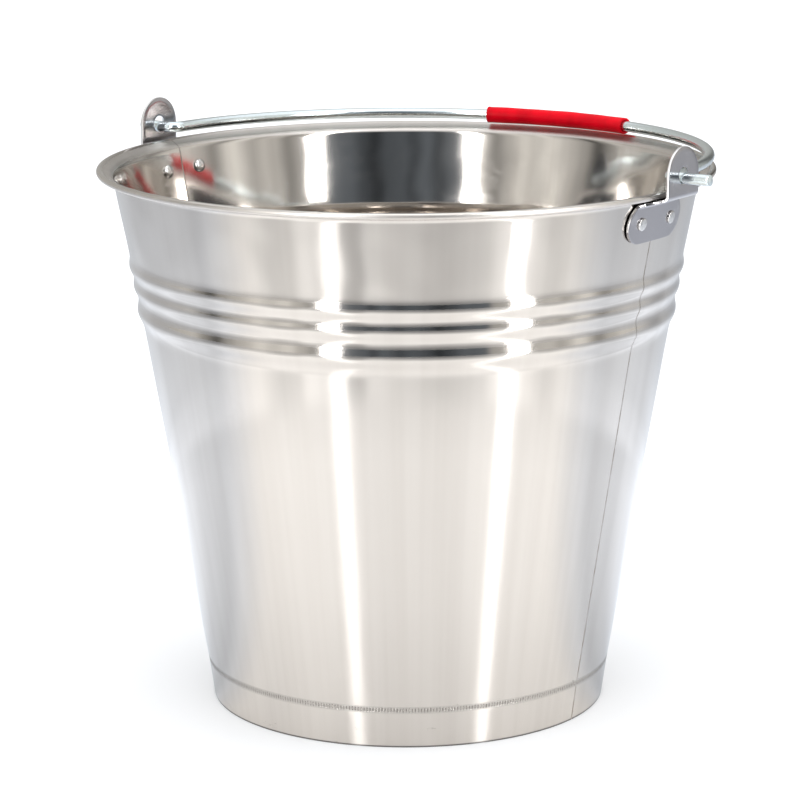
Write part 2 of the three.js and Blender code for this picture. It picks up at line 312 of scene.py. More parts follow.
def make_sheet(piece: bpy.types.Object, thickness: float, chamfer: float, sharp_angle: float = 28.0) -> None:
    """Gives a surface the thickness of sheet, half to each side, and breaks its sheared edges.

    Args:
        piece: The surface.
        thickness: Sheet thickness in millimetres.
        chamfer: Width of the broken edge in millimetres.
        sharp_angle: Edges that turn by more than this many degrees stay sharp.
    """
    wall = piece.modifiers.new("thickness", "SOLIDIFY")
    wall.thickness = thickness * MM
    wall.offset = 0.0
    edge = piece.modifiers.new("broken_edge", "BEVEL")
    edge.width = chamfer * MM
    edge.segments = 2
    edge.limit_method = "ANGLE"
    edge.angle_limit = SHEARED_ANGLE
    shaped = piece.evaluated_get(bpy.context.evaluated_depsgraph_get())
    mesh = bpy.data.meshes.new_from_object(shaped)
    piece.modifiers.clear()
    piece.data = mesh
    mesh.name = piece.name
    smooth(mesh, sharp_angle)


def transform_piece(piece: bpy.types.Object, matrix: Matrix) -> None:
    """Moves a piece's mesh, so that its object stays at the origin."""
    piece.data.transform(matrix)
    piece.data.update()


def settle(
    piece: bpy.types.Object,
    body: Body,
    slot: Slot,
    material: bpy.types.Material,
    nodes: Sequence[str] = (),
) -> None:
    """Dresses a finished piece, ties it to its body, hides the CAD nodes that it stands for, and logs its slot.

    Args:
        piece: The finished piece.
        body: The body that it rides on.
        slot: The record's material slot for it.
        material: Its finish.
        nodes: The CAD nodes that it replaces.
    """
    piece.data.materials.clear()
    piece.data.materials.append(material)
    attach(piece, body.value)
    if nodes:
        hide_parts(*nodes)
    LOG.info("%s: %d faces on %s, %s", piece.name, len(piece.data.polygons), body.value, slot.value)


# ---- Node trees ----


class Nodes:
    """Adds nodes to a tree in few words."""

    def __init__(self, tree: bpy.types.NodeTree) -> None:
        """Keeps the tree that nodes are added to."""
        self.tree = tree

    def add(self, kind: str, settings: Optional[dict] = None, **inputs: object) -> bpy.types.Node:
        """Adds one node.

        Args:
            kind: The node's type name.
            settings: Values for the node's own properties.
            inputs: Values or sockets to link, by input name with _ for a space, or as in0, in1 by number.

        Returns:
            The new node.
        """
        node = self.tree.nodes.new(kind)
        for key, value in (settings or {}).items():
            setattr(node, key, value)
        for key, value in inputs.items():
            numbered = key[:2] == "in" and key[2:].isdigit()
            socket = node.inputs[int(key[2:])] if numbered else node.inputs[key.replace("_", " ")]
            if isinstance(value, bpy.types.NodeSocket):
                self.tree.links.new(value, socket)
            else:
                socket.default_value = value
        return node

    def math(self, operation: str, *values: object) -> bpy.types.NodeSocket:
        """Adds a Math node and returns its result."""
        inputs = {f"in{i}": value for i, value in enumerate(values)}
        return self.add("ShaderNodeMath", {"operation": operation}, **inputs).outputs[0]

    def ramp(
        self, value: object, low: float, high: float, to_low: float = 0.0, to_high: float = 1.0
    ) -> bpy.types.NodeSocket:
        """Adds a smooth Map Range from [low, high] to [to_low, to_high] and returns its result."""
        node = self.add(
            "ShaderNodeMapRange",
            {"interpolation_type": "SMOOTHSTEP"},
            Value=value,
            From_Min=low,
            From_Max=high,
            To_Min=to_low,
            To_Max=to_high,
        )
        return node.outputs["Result"]

    def mix(self, share: object, first: object, second: object, blend: str = "MIX") -> bpy.types.NodeSocket:
        """Adds a colour Mix node.

        Args:
            share: How much of the second colour there is.
            first: The first colour or socket.
            second: The second colour or socket.
            blend: The blend type's name.

        Returns:
            The mixed colour.
        """
        node = self.tree.nodes.new("ShaderNodeMix")
        node.data_type = "RGBA"
        node.blend_type = blend
        factor, colour_a, colour_b, result = 0, 6, 7, 2
        for index, value in ((factor, share), (colour_a, first), (colour_b, second)):
            if isinstance(value, bpy.types.NodeSocket):
                self.tree.links.new(value, node.inputs[index])
            else:
                node.inputs[index].default_value = value
        return node.outputs[result]

    def profile(self, value: object, low: float, high: float, stops: Sequence[tuple]) -> bpy.types.NodeSocket:
        """Adds a colour ramp over a range.

        Args:
            value: The socket that is looked up.
            low: Start of the range.
            high: End of the range.
            stops: Rows of place in the range and colour.

        Returns:
            The colour at the value.
        """
        share = self.add("ShaderNodeMapRange", Value=value, From_Min=low, From_Max=high).outputs["Result"]
        node = self.add("ShaderNodeValToRGB", Fac=share)
        elements = node.color_ramp.elements
        node.color_ramp.interpolation = "EASE"
        for index, (place, colour) in enumerate(stops):
            position = (place - low) / (high - low)
            element = elements[index] if index < len(elements) else elements.new(position)
            element.position = position
            element.color = (*colour, 1.0)
        return node.outputs["Color"]

    def dot(self, vector: object, direction: Sequence[float]) -> bpy.types.NodeSocket:
        """Adds a dot product with a fixed direction and returns its value."""
        node = self.add("ShaderNodeVectorMath", {"operation": "DOT_PRODUCT"}, in0=vector, in1=direction)
        return node.outputs["Value"]

    def noise(
        self, vector: object, scale: float, detail: float = 2.0, distortion: float = 0.0
    ) -> bpy.types.NodeSocket:
        """Adds a Noise texture and returns its value, about 0.5 in the middle."""
        inputs = {"Vector": vector, "Scale": scale, "Detail": detail, "Distortion": distortion}
        return self.add("ShaderNodeTexNoise", **inputs).outputs["Fac"]

    def scaled(self, vector: object, factors: Sequence[float]) -> bpy.types.NodeSocket:
        """Adds a Vector Math node that multiplies each coordinate and returns its result."""
        return self.add("ShaderNodeVectorMath", {"operation": "MULTIPLY"}, in0=vector, in1=factors).outputs[0]

    def group(self, tree: bpy.types.NodeTree, **inputs: object) -> bpy.types.Node:
        """Places a node group with its own values and returns its node."""
        return self.add("ShaderNodeGroup", {"node_tree": tree}, **inputs)


def new_group(name: str, inputs: Sequence[tuple], outputs: Sequence[tuple]) -> tuple:
    """Starts a shader node group with named sockets.

    Args:
        name: The group's name.
        inputs: Rows of socket name, socket type and default value.
        outputs: Rows of socket name and socket type.

    Returns:
        The tree, its Nodes helper, its input node and its output node.
    """
    tree = bpy.data.node_groups.new(name, "ShaderNodeTree")
    for label, kind, value in inputs:
        socket = tree.interface.new_socket(name=label, in_out="INPUT", socket_type=kind)
        if value is not None:
            socket.default_value = value
    for label, kind in outputs:
        tree.interface.new_socket(name=label, in_out="OUTPUT", socket_type=kind)
    entry = tree.nodes.new("NodeGroupInput")
    leave = tree.nodes.new("NodeGroupOutput")
    return tree, Nodes(tree), entry, leave


FLOAT = "NodeSocketFloat"
VECTOR = "NodeSocketVector"


class Effects:
    """The node groups that finishes share, each built once."""

    def __init__(self) -> None:
        """Builds every group."""
        self.around_axis = self._around_axis()
        self.drawn_grain = self._drawn_grain()
        self.handling = self._handling()
        self.scuffs = self._scuffs()

    @staticmethod
    def _around_axis() -> bpy.types.NodeTree:
        """Place on a turned surface: (mean radius * angle, height, distance from the axis).

        Returns:
            The node group.
        """
        tree, kit, entry, leave = new_group(
            "around_axis", [("Position", VECTOR, None), ("Mean Radius", FLOAT, 0.12)], [("Unrolled", VECTOR)]
        )
        split = kit.add("ShaderNodeSeparateXYZ", Vector=entry.outputs["Position"])
        x, y, z = split.outputs
        length = kit.math("MULTIPLY", kit.math("ARCTAN2", y, x), entry.outputs["Mean Radius"])
        radius = kit.math("SQRT", kit.math("ADD", kit.math("MULTIPLY", x, x), kit.math("MULTIPLY", y, y)))
        joined = kit.add("ShaderNodeCombineXYZ", X=length, Y=z, Z=radius)
        tree.links.new(joined.outputs[0], leave.inputs["Unrolled"])
        return tree

    @staticmethod
    def _drawn_grain() -> bpy.types.NodeTree:
        """Fine lines in one direction, as rolling and polishing leave: a coarse and a fine drawn-out noise.

        Returns:
            The node group.
        """
        tree, kit, entry, leave = new_group(
            "drawn_grain",
            [("Position", VECTOR, None), ("Coarse", FLOAT, 0.5)],
            [("Grain", FLOAT), ("Bands", FLOAT)],
        )
        position = entry.outputs["Position"]
        fine_lines, broad_bands = (2600.0, 22.0, 22.0), (150.0, 2.5, 2.5)
        fine = kit.noise(kit.scaled(position, fine_lines), 1.0, 3.0)
        bands = kit.noise(kit.scaled(position, broad_bands), 1.0, 4.0)
        share = entry.outputs["Coarse"]
        blend = kit.add("ShaderNodeMix", {"data_type": "FLOAT"}, in0=share, in2=fine, in3=bands)
        tree.links.new(blend.outputs[0], leave.inputs["Grain"])
        tree.links.new(bands, leave.inputs["Bands"])
        return tree

    @staticmethod
    def _handling() -> bpy.types.NodeTree:
        """Faint smudges of hands and cloths: two noises of different size multiplied, with a soft threshold.

        Returns:
            The node group.
        """
        tree, kit, entry, leave = new_group(
            "handling",
            [("Position", VECTOR, None), ("Size", FLOAT, 26.0)],
            [("Smudge", FLOAT), ("Cloud", FLOAT)],
        )
        broad = kit.add(
            "ShaderNodeTexNoise", Vector=entry.outputs["Position"], Scale=entry.outputs["Size"], Detail=3.0
        ).outputs["Fac"]
        fine = kit.noise(kit.scaled(entry.outputs["Position"], (1.0, 1.0, 1.6)), 110.0, 4.0, 0.6)
        smudge = kit.math("MULTIPLY", kit.ramp(broad, 0.48, 0.68), kit.ramp(fine, 0.35, 0.65))
        tree.links.new(smudge, leave.inputs["Smudge"])
        tree.links.new(broad, leave.inputs["Cloud"])
        return tree

    @staticmethod
    def _scuffs() -> bpy.types.NodeTree:
        """Sparse short scratches: thin crests of a noise that is drawn out lengthways, in a few patches.

        Returns:
            The node group.
        """
        tree, kit, entry, leave = new_group(
            "scuffs",
            [("Position", VECTOR, None), ("Amount", FLOAT, 0.5)],
            [("Mark", FLOAT)],
        )
        position = entry.outputs["Position"]
        scratch_size, patch_size = (95.0, 900.0, 95.0), (60.0, 160.0, 60.0)
        scratch_width, highest_limit = 0.012, 0.80
        lines = kit.noise(kit.scaled(position, scratch_size), 1.0, 1.0, 0.15)
        crest = kit.math("ABSOLUTE", kit.math("SUBTRACT", lines, 0.5))
        thin = kit.ramp(crest, 0.0, scratch_width, 1.0, 0.0)
        patches = kit.noise(kit.scaled(position, patch_size), 1.0, 1.0)
        limit = kit.math("SUBTRACT", highest_limit, kit.math("MULTIPLY", entry.outputs["Amount"], 0.2))
        above = kit.math("SUBTRACT", patches, limit)
        mark = kit.math("MULTIPLY", thin, kit.ramp(above, 0.0, 0.05))
        tree.links.new(mark, leave.inputs["Mark"])
        return tree


def new_material(name: str, metallic: float = 0.0) -> tuple:
    """Starts a material.

    Args:
        name: The material's name.
        metallic: 1 for bare metal.

    Returns:
        The material, its Nodes helper and its Principled shader.
    """
    material = bpy.data.materials.new(name)
    material.use_nodes = True
    tree = material.node_tree
    tree.nodes.clear()
    kit = Nodes(tree)
    shader = kit.add("ShaderNodeBsdfPrincipled")
    shader.inputs["Metallic"].default_value = metallic
    output = kit.add("ShaderNodeOutputMaterial")
    tree.links.new(shader.outputs[0], output.inputs["Surface"])
    return material, kit, shader


def tie(kit: Nodes, shader: bpy.types.Node, links: dict) -> None:
    """Links sockets to a shader's inputs by name."""
    for label, socket in links.items():
        kit.tree.links.new(socket, shader.inputs[label])


def dress(
    kit: Nodes,
    shader: bpy.types.Node,
    colour: bpy.types.NodeSocket,
    roughness: bpy.types.NodeSocket,
    height: bpy.types.NodeSocket,
    depth: float,
) -> None:
    """Links a colour, a roughness and a bump to a shader.

    Args:
        kit: The material's Nodes helper.
        shader: The Principled shader.
        colour: The base colour.
        roughness: The roughness.
        height: Height of the relief, about 0 to 1.
        depth: What a height of 1 stands for, in millimetres.
    """
    relief = kit.add("ShaderNodeBump", Strength=1.0, Distance=depth * MM, Height=height).outputs["Normal"]
    tie(kit, shader, {"Base Color": colour, "Roughness": roughness, "Normal": relief})


# ---- Finishes ----


@dataclass(frozen=True)
class BrightSteel:
    """Bright rolled stainless sheet: faint upright grain, smudges, a satin flange, scuffs at the foot and a
    painted contact shadow along the foot's bottom edge.
    """

    name: str = "bright_steel"
    colour: tuple = (0.665, 0.632, 0.597, 1.0)
    shade: tuple = (0.600, 0.565, 0.530, 1.0)
    roughness: float = 0.075
    grain_roughness: float = 0.035
    smudge_roughness: float = 0.05
    grain_depth: float = 0.0022
    grain_mix: float = 0.35
    band_share: float = 0.55
    smudge_size: float = 24.0
    wall_radius: float = 0.12
    flange_from: float = 260.2
    flange_to: float = 261.8
    bead_from: float = 264.0
    bead_to: float = 264.6
    flange_roughness: float = 0.30
    foot_from: float = 21.0
    foot_to: float = 25.0
    scuff_amount: float = 0.75
    scuff_share: float = 0.85
    scuff_roughness: float = 0.4
    scuff_relief: float = 6.0
    scuff_shade: tuple = (0.12, 0.115, 0.11, 1.0)
    # painted contact shadow: a dark colour on the lowest millimetre of the wall, where it meets the floor
    contact_shadow_from: float = 0.35
    contact_shadow_to: float = 1.1
    contact_shadow: tuple = (0.16, 0.155, 0.15, 1.0)

    def material(self, effects: Effects) -> bpy.types.Material:
        """Makes the material.

        Args:
            effects: The shared node groups.

        Returns:
            The material.
        """
        material, kit, shader = new_material(self.name, metallic=1.0)
        position = kit.add("ShaderNodeTexCoord").outputs["Object"]
        turned_place = kit.group(effects.around_axis, Position=position, Mean_Radius=self.wall_radius)
        unrolled = turned_place.outputs["Unrolled"]
        grain = kit.group(effects.drawn_grain, Position=unrolled, Coarse=self.grain_mix)
        touch = kit.group(effects.handling, Position=position, Size=self.smudge_size)
        scuff = kit.group(effects.scuffs, Position=unrolled, Amount=self.scuff_amount).outputs["Mark"]
        height = kit.add("ShaderNodeSeparateXYZ", Vector=position).outputs["Z"]
        low = kit.ramp(height, self.foot_from * MM, self.foot_to * MM, 1.0, 0.0)
        mark = kit.math("MULTIPLY", scuff, low)
        # painted contact shadow, full below the first height and gone above the second
        edge = kit.ramp(height, self.contact_shadow_from * MM, self.contact_shadow_to * MM, 1.0, 0.0)

        bands = kit.ramp(grain.outputs["Bands"], 0.3, 0.75, 0.0, self.band_share)
        colour = kit.mix(bands, self.colour, self.shade)
        colour = kit.mix(kit.math("MULTIPLY", mark, self.scuff_share), colour, self.scuff_shade)
        colour = kit.mix(edge, colour, self.contact_shadow)
        rough = kit.math("MULTIPLY_ADD", grain.outputs["Grain"], self.grain_roughness, self.roughness)
        rough = kit.math("MULTIPLY_ADD", touch.outputs["Smudge"], self.smudge_roughness, rough)
        rough = kit.math("MULTIPLY_ADD", mark, self.scuff_roughness, rough)
        flange = kit.ramp(height, self.flange_from * MM, self.flange_to * MM)
        below_bead = kit.ramp(height, self.bead_from * MM, self.bead_to * MM, 1.0, 0.0)
        satin = kit.math("MULTIPLY", flange, below_bead)
        rough = kit.math("MULTIPLY_ADD", satin, self.flange_roughness, rough)
        relief = kit.math("SUBTRACT", grain.outputs["Grain"], kit.math("MULTIPLY", mark, self.scuff_relief))
        dress(kit, shader, colour, rough, relief, self.grain_depth)
        return material


@dataclass(frozen=True)
class WeldSteel:
    """Weld metal: duller and browner than the sheet, with ripples across its length."""

    name: str = "weld_steel"
    colour: tuple = (0.50, 0.475, 0.45, 1.0)
    tint: tuple = (0.33, 0.29, 0.25, 1.0)
    roughness: float = 0.24
    cloud_size: float = 120.0
    cloud_roughness: float = 0.16
    ripple: float = 0.8
    ripple_wander: float = 3.0
    ripple_depth: float = 0.02

    def material(self, effects: Effects) -> bpy.types.Material:
        """Makes the material.

        Args:
            effects: The shared node groups.

        Returns:
            The material.
        """
        material, kit, shader = new_material(self.name, metallic=1.0)
        position = kit.add("ShaderNodeTexCoord").outputs["Object"]
        height = kit.add("ShaderNodeSeparateXYZ", Vector=position).outputs["Z"]
        wander = kit.math("MULTIPLY", kit.noise(position, 900.0, 2.0), self.ripple_wander)
        phase = kit.math("MULTIPLY_ADD", height, FULL_TURN / (self.ripple * MM), wander)
        ripples = kit.math("MULTIPLY_ADD", kit.math("SINE", phase), 0.5, 0.5)
        touch = kit.group(effects.handling, Position=position, Size=self.cloud_size)
        colour = kit.mix(kit.ramp(touch.outputs["Cloud"], 0.35, 0.65), self.colour, self.tint)
        rough = kit.math("MULTIPLY_ADD", touch.outputs["Cloud"], self.cloud_roughness, self.roughness)
        dress(kit, shader, colour, rough, ripples, self.ripple_depth)
        return material


@dataclass(frozen=True)
class TrackSteel:
    """Ticks of a resistance seam weld: bright crests, and dents darkened by heat."""

    name: str = "track_steel"
    colour: tuple = (0.55, 0.525, 0.495, 1.0)
    heat: tuple = (0.05, 0.042, 0.036, 1.0)
    roughness: float = 0.22
    heat_roughness: float = 0.2
    cloud_size: float = 160.0

    def material(self, effects: Effects) -> bpy.types.Material:
        """Makes the material, which reads the mesh's own dent attribute.

        Args:
            effects: The shared node groups.

        Returns:
            The material.
        """
        material, kit, shader = new_material(self.name, metallic=1.0)
        position = kit.add("ShaderNodeTexCoord").outputs["Object"]
        dent = kit.add("ShaderNodeAttribute", {"attribute_name": "dent"}).outputs["Fac"]
        touch = kit.group(effects.handling, Position=position, Size=self.cloud_size)
        share = kit.math("MULTIPLY", dent, kit.ramp(touch.outputs["Cloud"], 0.2, 0.7, 0.75, 1.0))
        colour = kit.mix(share, self.colour, self.heat)
        rough = kit.math("MULTIPLY_ADD", share, self.heat_roughness, self.roughness)
        tie(kit, shader, {"Base Color": colour, "Roughness": rough})
        return material


@dataclass(frozen=True)
class PanSteel:
    """The pressed floor: satin rings from spinning and polishing, and faint smudges."""

    name: str = "pan_steel"
    colour: tuple = (0.62, 0.595, 0.565, 1.0)
    shade: tuple = (0.50, 0.475, 0.445, 1.0)
    roughness: float = 0.16
    grain_roughness: float = 0.1
    grain_mix: float = 0.45
    smudge_roughness: float = 0.12
    smudge_size: float = 30.0
    mean_radius: float = 0.05
    ring_depth: float = 0.004

    def material(self, effects: Effects) -> bpy.types.Material:
        """Makes the material.

        Args:
            effects: The shared node groups.

        Returns:
            The material.
        """
        material, kit, shader = new_material(self.name, metallic=1.0)
        position = kit.add("ShaderNodeTexCoord").outputs["Object"]
        turned_place = kit.group(effects.around_axis, Position=position, Mean_Radius=self.mean_radius)
        unrolled = turned_place.outputs["Unrolled"]
        around, up, radius = kit.add("ShaderNodeSeparateXYZ", Vector=unrolled).outputs
        outwards = kit.math("SUBTRACT", radius, up)
        across = kit.add("ShaderNodeCombineXYZ", X=outwards, Y=around, Z=0.0).outputs[0]
        grain = kit.group(effects.drawn_grain, Position=across, Coarse=self.grain_mix)
        touch = kit.group(effects.handling, Position=position, Size=self.smudge_size)
        colour = kit.mix(kit.ramp(grain.outputs["Bands"], 0.3, 0.7), self.colour, self.shade)
        rough = kit.math("MULTIPLY_ADD", grain.outputs["Grain"], self.grain_roughness, self.roughness)
        rough = kit.math("MULTIPLY_ADD", touch.outputs["Smudge"], self.smudge_roughness, rough)
        dress(kit, shader, colour, rough, grain.outputs["Grain"], self.ring_depth)
        return material


@dataclass(frozen=True)
class SatinSteel:
    """Stamped ear steel: rolled sheet greyer than the wall, with fine pits, and rougher sheared edges whose
    bright colour is a painted highlight.
    """

    name: str = "satin_steel"
    colour: tuple = (0.40, 0.39, 0.405, 1.0)
    rubbed: tuple = (0.50, 0.488, 0.495, 1.0)
    # painted highlight: the bright colour of the cut faces
    sheared: tuple = (0.93, 0.92, 0.92, 1.0)
    roughness: float = 0.13
    sheared_roughness: float = 0.34
    grain_roughness: float = 0.06
    grain_mix: float = 0.3
    grain_relief: float = 0.6
    smudge_roughness: float = 0.08
    smudge_size: float = 90.0
    pit_scale: float = 2600.0
    pit_depth: float = 0.004

    def material(self, effects: Effects) -> bpy.types.Material:
        """Makes the material, which reads the mesh's own sheared attribute.

        Args:
            effects: The shared node groups.

        Returns:
            The material.
        """
        material, kit, shader = new_material(self.name, metallic=1.0)
        position = kit.add("ShaderNodeTexCoord").outputs["Object"]
        edge = kit.add("ShaderNodeAttribute", {"attribute_name": "sheared"}).outputs["Fac"]
        turned_grain = kit.scaled(position, (1.0, 1.0, 0.35))
        grain = kit.group(effects.drawn_grain, Position=turned_grain, Coarse=self.grain_mix)
        touch = kit.group(effects.handling, Position=position, Size=self.smudge_size)
        pits = kit.noise(position, self.pit_scale, 3.0)
        colour = kit.mix(touch.outputs["Smudge"], self.colour, self.rubbed)
        # the cut faces get the painted highlight colour; their extra roughness below is real
        colour = kit.mix(edge, colour, self.sheared)
        rough = kit.math("MULTIPLY_ADD", grain.outputs["Grain"], self.grain_roughness, self.roughness)
        rough = kit.math("MULTIPLY_ADD", touch.outputs["Smudge"], self.smudge_roughness, rough)
        rough = kit.math("MULTIPLY_ADD", edge, self.sheared_roughness - self.roughness, rough)
        relief = kit.math("MULTIPLY_ADD", grain.outputs["Grain"], self.grain_relief, pits)
        dress(kit, shader, colour, rough, relief, self.pit_depth)
        return material


@dataclass(frozen=True)
class RivetSteel:
    """Bright rivet heads, with the faint marks of the setting tool."""

    name: str = "rivet_steel"
    colour: tuple = (0.74, 0.73, 0.72, 1.0)
    shade: tuple = (0.55, 0.54, 0.53, 1.0)
    roughness: float = 0.16
    cloud_roughness: float = 0.14
    cloud_size: float = 300.0
    mark_scale: float = 700.0
    mark_depth: float = 0.03

    def material(self, effects: Effects) -> bpy.types.Material:
        """Makes the material.

        Args:
            effects: The shared node groups.

        Returns:
            The material.
        """
        material, kit, shader = new_material(self.name, metallic=1.0)
        position = kit.add("ShaderNodeTexCoord").outputs["Object"]
        touch = kit.group(effects.handling, Position=position, Size=self.cloud_size)
        marks = kit.noise(position, self.mark_scale, 2.0)
        colour = kit.mix(kit.ramp(marks, 0.4, 0.7), self.colour, self.shade)
        rough = kit.math("MULTIPLY_ADD", touch.outputs["Cloud"], self.cloud_roughness, self.roughness)
        dress(kit, shader, colour, rough, marks, self.mark_depth)
        return material


@dataclass(frozen=True)
class ZincWire:
    """Bright zinc plating: bluish and glossy, slightly uneven, with dull spots."""

    name: str = "zinc_plating"
    colour: tuple = (0.82, 0.905, 0.93, 1.0)
    dull: tuple = (0.70, 0.78, 0.80, 1.0)
    roughness: float = 0.13
    cloud_roughness: float = 0.14
    cloud_size: float = 140.0
    ripple_scale: float = 260.0
    ripple_depth: float = 0.012
    spot_scale: float = 1300.0
    spot_share: float = 0.8
    spot_relief: float = 0.25

    def material(self, effects: Effects) -> bpy.types.Material:
        """Makes the material.

        Args:
            effects: The shared node groups.

        Returns:
            The material.
        """
        material, kit, shader = new_material(self.name, metallic=1.0)
        position = kit.add("ShaderNodeTexCoord").outputs["Object"]
        touch = kit.group(effects.handling, Position=position, Size=self.cloud_size)
        ripples = kit.noise(position, self.ripple_scale, 3.0)
        spots = kit.noise(position, self.spot_scale, 2.0)
        colour = kit.mix(kit.ramp(spots, 0.52, 0.72, 0.0, self.spot_share), self.colour, self.dull)
        rough = kit.math("MULTIPLY_ADD", touch.outputs["Cloud"], self.cloud_roughness, self.roughness)
        relief = kit.math("MULTIPLY_ADD", spots, self.spot_relief, ripples)
        dress(kit, shader, colour, rough, relief, self.ripple_depth)
        return material


@dataclass(frozen=True)
class GripPlastic:
    """Red soft plastic: even colour, slightly darker in patches, with a faint orange-peel surface."""

    name: str = "grip_plastic"
    colour: tuple = (0.70, 0.0005, 0.011, 1.0)
    shade: tuple = (0.54, 0.0003, 0.008, 1.0)
    roughness: float = 0.34
    shine: float = 0.07
    smudge_roughness: float = 0.14
    smudge_size: float = 80.0
    peel_scale: float = 420.0
    peel_depth: float = 0.02

    def material(self, effects: Effects) -> bpy.types.Material:
        """Makes the material.

        Args:
            effects: The shared node groups.

        Returns:
            The material.
        """
        material, kit, shader = new_material(self.name)
        shader.inputs["Specular IOR Level"].default_value = self.shine
        position = kit.add("ShaderNodeTexCoord").outputs["Object"]
        touch = kit.group(effects.handling, Position=position, Size=self.smudge_size)
        peel = kit.noise(position, self.peel_scale, 2.0)
        colour = kit.mix(kit.ramp(touch.outputs["Cloud"], 0.4, 0.7), self.colour, self.shade)
        rough = kit.math("MULTIPLY_ADD", touch.outputs["Smudge"], self.smudge_roughness, self.roughness)
        dress(kit, shader, colour, rough, peel, self.peel_depth)
        return material


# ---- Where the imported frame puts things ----


@dataclass(frozen=True)
class FrameSizes:
    """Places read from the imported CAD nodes, in millimetres."""

    rim_radius: float
    rim_height: float
    tab_face: float
    ear_top: float
    ear_foot: float
    ear_half_length: float
    right_tail_end: float
    left_tail_end: float
    hinge_height: float

    @classmethod
    def read(cls) -> "FrameSizes":
        """Reads the CAD boxes and the bail's hinge.

        Returns:
            The places.
        """
        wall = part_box("rear_body_panel")[1]
        ear_low, ear_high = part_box("right_ear")
        bail_low, bail_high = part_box("bail")
        hinge = frame["joints"][0]["pos_m"]
        return cls(
            rim_radius=round(wall.y / MM, 1),
            rim_height=round(wall.z / MM, 1),
            tab_face=round(ear_high.x / MM, 1),
            ear_top=round(ear_high.z / MM, 1),
            ear_foot=round(ear_low.z / MM, 1),
            ear_half_length=round(ear_high.y / MM, 1),
            right_tail_end=round(bail_high.x / MM, 1),
            left_tail_end=round(-bail_low.x / MM, 1),
            hinge_height=hinge[2] / MM,
        )


# ---- Wall ----


@dataclass(frozen=True)
class Rib:
    """One rolled rib: its height on the wall, how far it stands out, and the half width of its swell."""

    height: float
    depth: float
    reach: float


@dataclass
class WallShape:
    """The shape of the wall's sheet, seen in section."""

    sizes: FrameSizes
    sheet: float = 0.7
    foot_radius: float = 97.0
    track_height: float = 19.3
    track_radius: float = 99.8
    slope: float = 0.17
    upper_slope: float = 0.195
    rib_middle: float = 206.8
    ribs: tuple = (Rib(195.0, 1.7, 4.2), Rib(207.4, 1.3, 3.3), Rib(217.4, 1.3, 3.3))
    belt_high: float = 228.0
    bead_radius: float = 1.6
    curl_turn: float = math.radians(258.0)
    flange_angle: float = math.radians(28.0)
    flange_bend: float = 5.0
    groove_depth: float = 0.17
    groove_reach: float = 1.5
    rows: tuple = ((0.0, 16.8, 7), (17.0, 21.8, 14), (22.6, 183.0, 26), (184.0, 228.0, 110))
    top_rows: int = 12

    def radius(self, height: np.ndarray) -> np.ndarray:
        """Outer radius: the tapers of foot, wall and top, plus depth * exp(-((h - height) / reach)^2) a rib.

        Args:
            height: Heights.

        Returns:
            The radius at each height.
        """
        foot_slope = (self.track_radius - self.foot_radius) / self.track_height
        foot = foot_slope * np.minimum(height - self.track_height, 0.0)
        wall = self.slope * np.clip(height - self.track_height, 0.0, self.rib_middle - self.track_height)
        top = self.upper_slope * np.maximum(height - self.rib_middle, 0.0)
        ribs = sum(rib.depth * np.exp(-(((height - rib.height) / rib.reach) ** 2)) for rib in self.ribs)
        return self.track_radius + foot + wall + top + ribs

    def groove(self, height: np.ndarray) -> np.ndarray:
        """Depth of the shallow groove under the weld track: depth * exp(-(h / reach)^6), h from the track."""
        return self.groove_depth * np.exp(-(((height - self.track_height) / self.groove_reach) ** 6))

    def centreline(self) -> np.ndarray:
        """Middle of the sheet, from the foot's edge up to the end of the rim's curl.

        Returns:
            Rows of radius and height.
        """
        half = self.sheet / 2.0
        curl_radius = self.bead_radius - half
        centre = (self.sizes.rim_radius - self.bead_radius, self.sizes.rim_height - self.bead_radius)
        curl_start = self.flange_angle + math.pi / 2.0
        curl = arc(centre, curl_radius, curl_start, curl_start - self.curl_turn, 30)

        # the flange's line meets the upper wall's line, carried down to the floor, at the corner
        rise = math.tan(self.flange_angle)
        wall_at_zero = float(self.radius(np.array(self.belt_high))) - half - self.upper_slope * self.belt_high
        top = (curl[0, 1] + rise * (wall_at_zero - curl[0, 0])) / (1.0 - rise * self.upper_slope)
        corner = (wall_at_zero + self.upper_slope * top, top)
        wall_heading = math.atan2(1.0, self.upper_slope)
        bend = rounded_corner(corner, wall_heading, self.flange_angle, self.flange_bend, 14)
        flange = np.linspace(bend[-1], curl[0], 6)[1:-1]

        last_rows = (self.belt_high + 1.0, bend[0, 1] - 0.4, self.top_rows)
        heights = np.concatenate([np.linspace(*stretch) for stretch in (*self.rows, last_rows)])
        wall = np.stack([self.radius(heights) - self.groove(heights) - half, heights], axis=1)
        return np.concatenate([wall, bend, flange, curl])

    def outline(self) -> np.ndarray:
        """The sheet's closed outline: up the outside, round the curl and down the inside, level at the foot.

        Returns:
            Rows of radius and height.
        """
        line = ribbon(self.centreline(), self.sheet)
        line[:, 1] = np.maximum(line[:, 1], 0.0)
        return line


@dataclass(frozen=True)
class Wave:
    """One wave of thin sheet: share * sin(turns * angle + phase) * sin(height / length + rise)."""

    share: float
    turns: float
    phase: float
    length: float
    rise: float

    def at(self, angle: np.ndarray, height: np.ndarray) -> np.ndarray:
        """The wave's value at each angle and height."""
        around = np.sin(self.turns * angle + self.phase)
        return self.share * around * np.sin(height / self.length + self.rise)


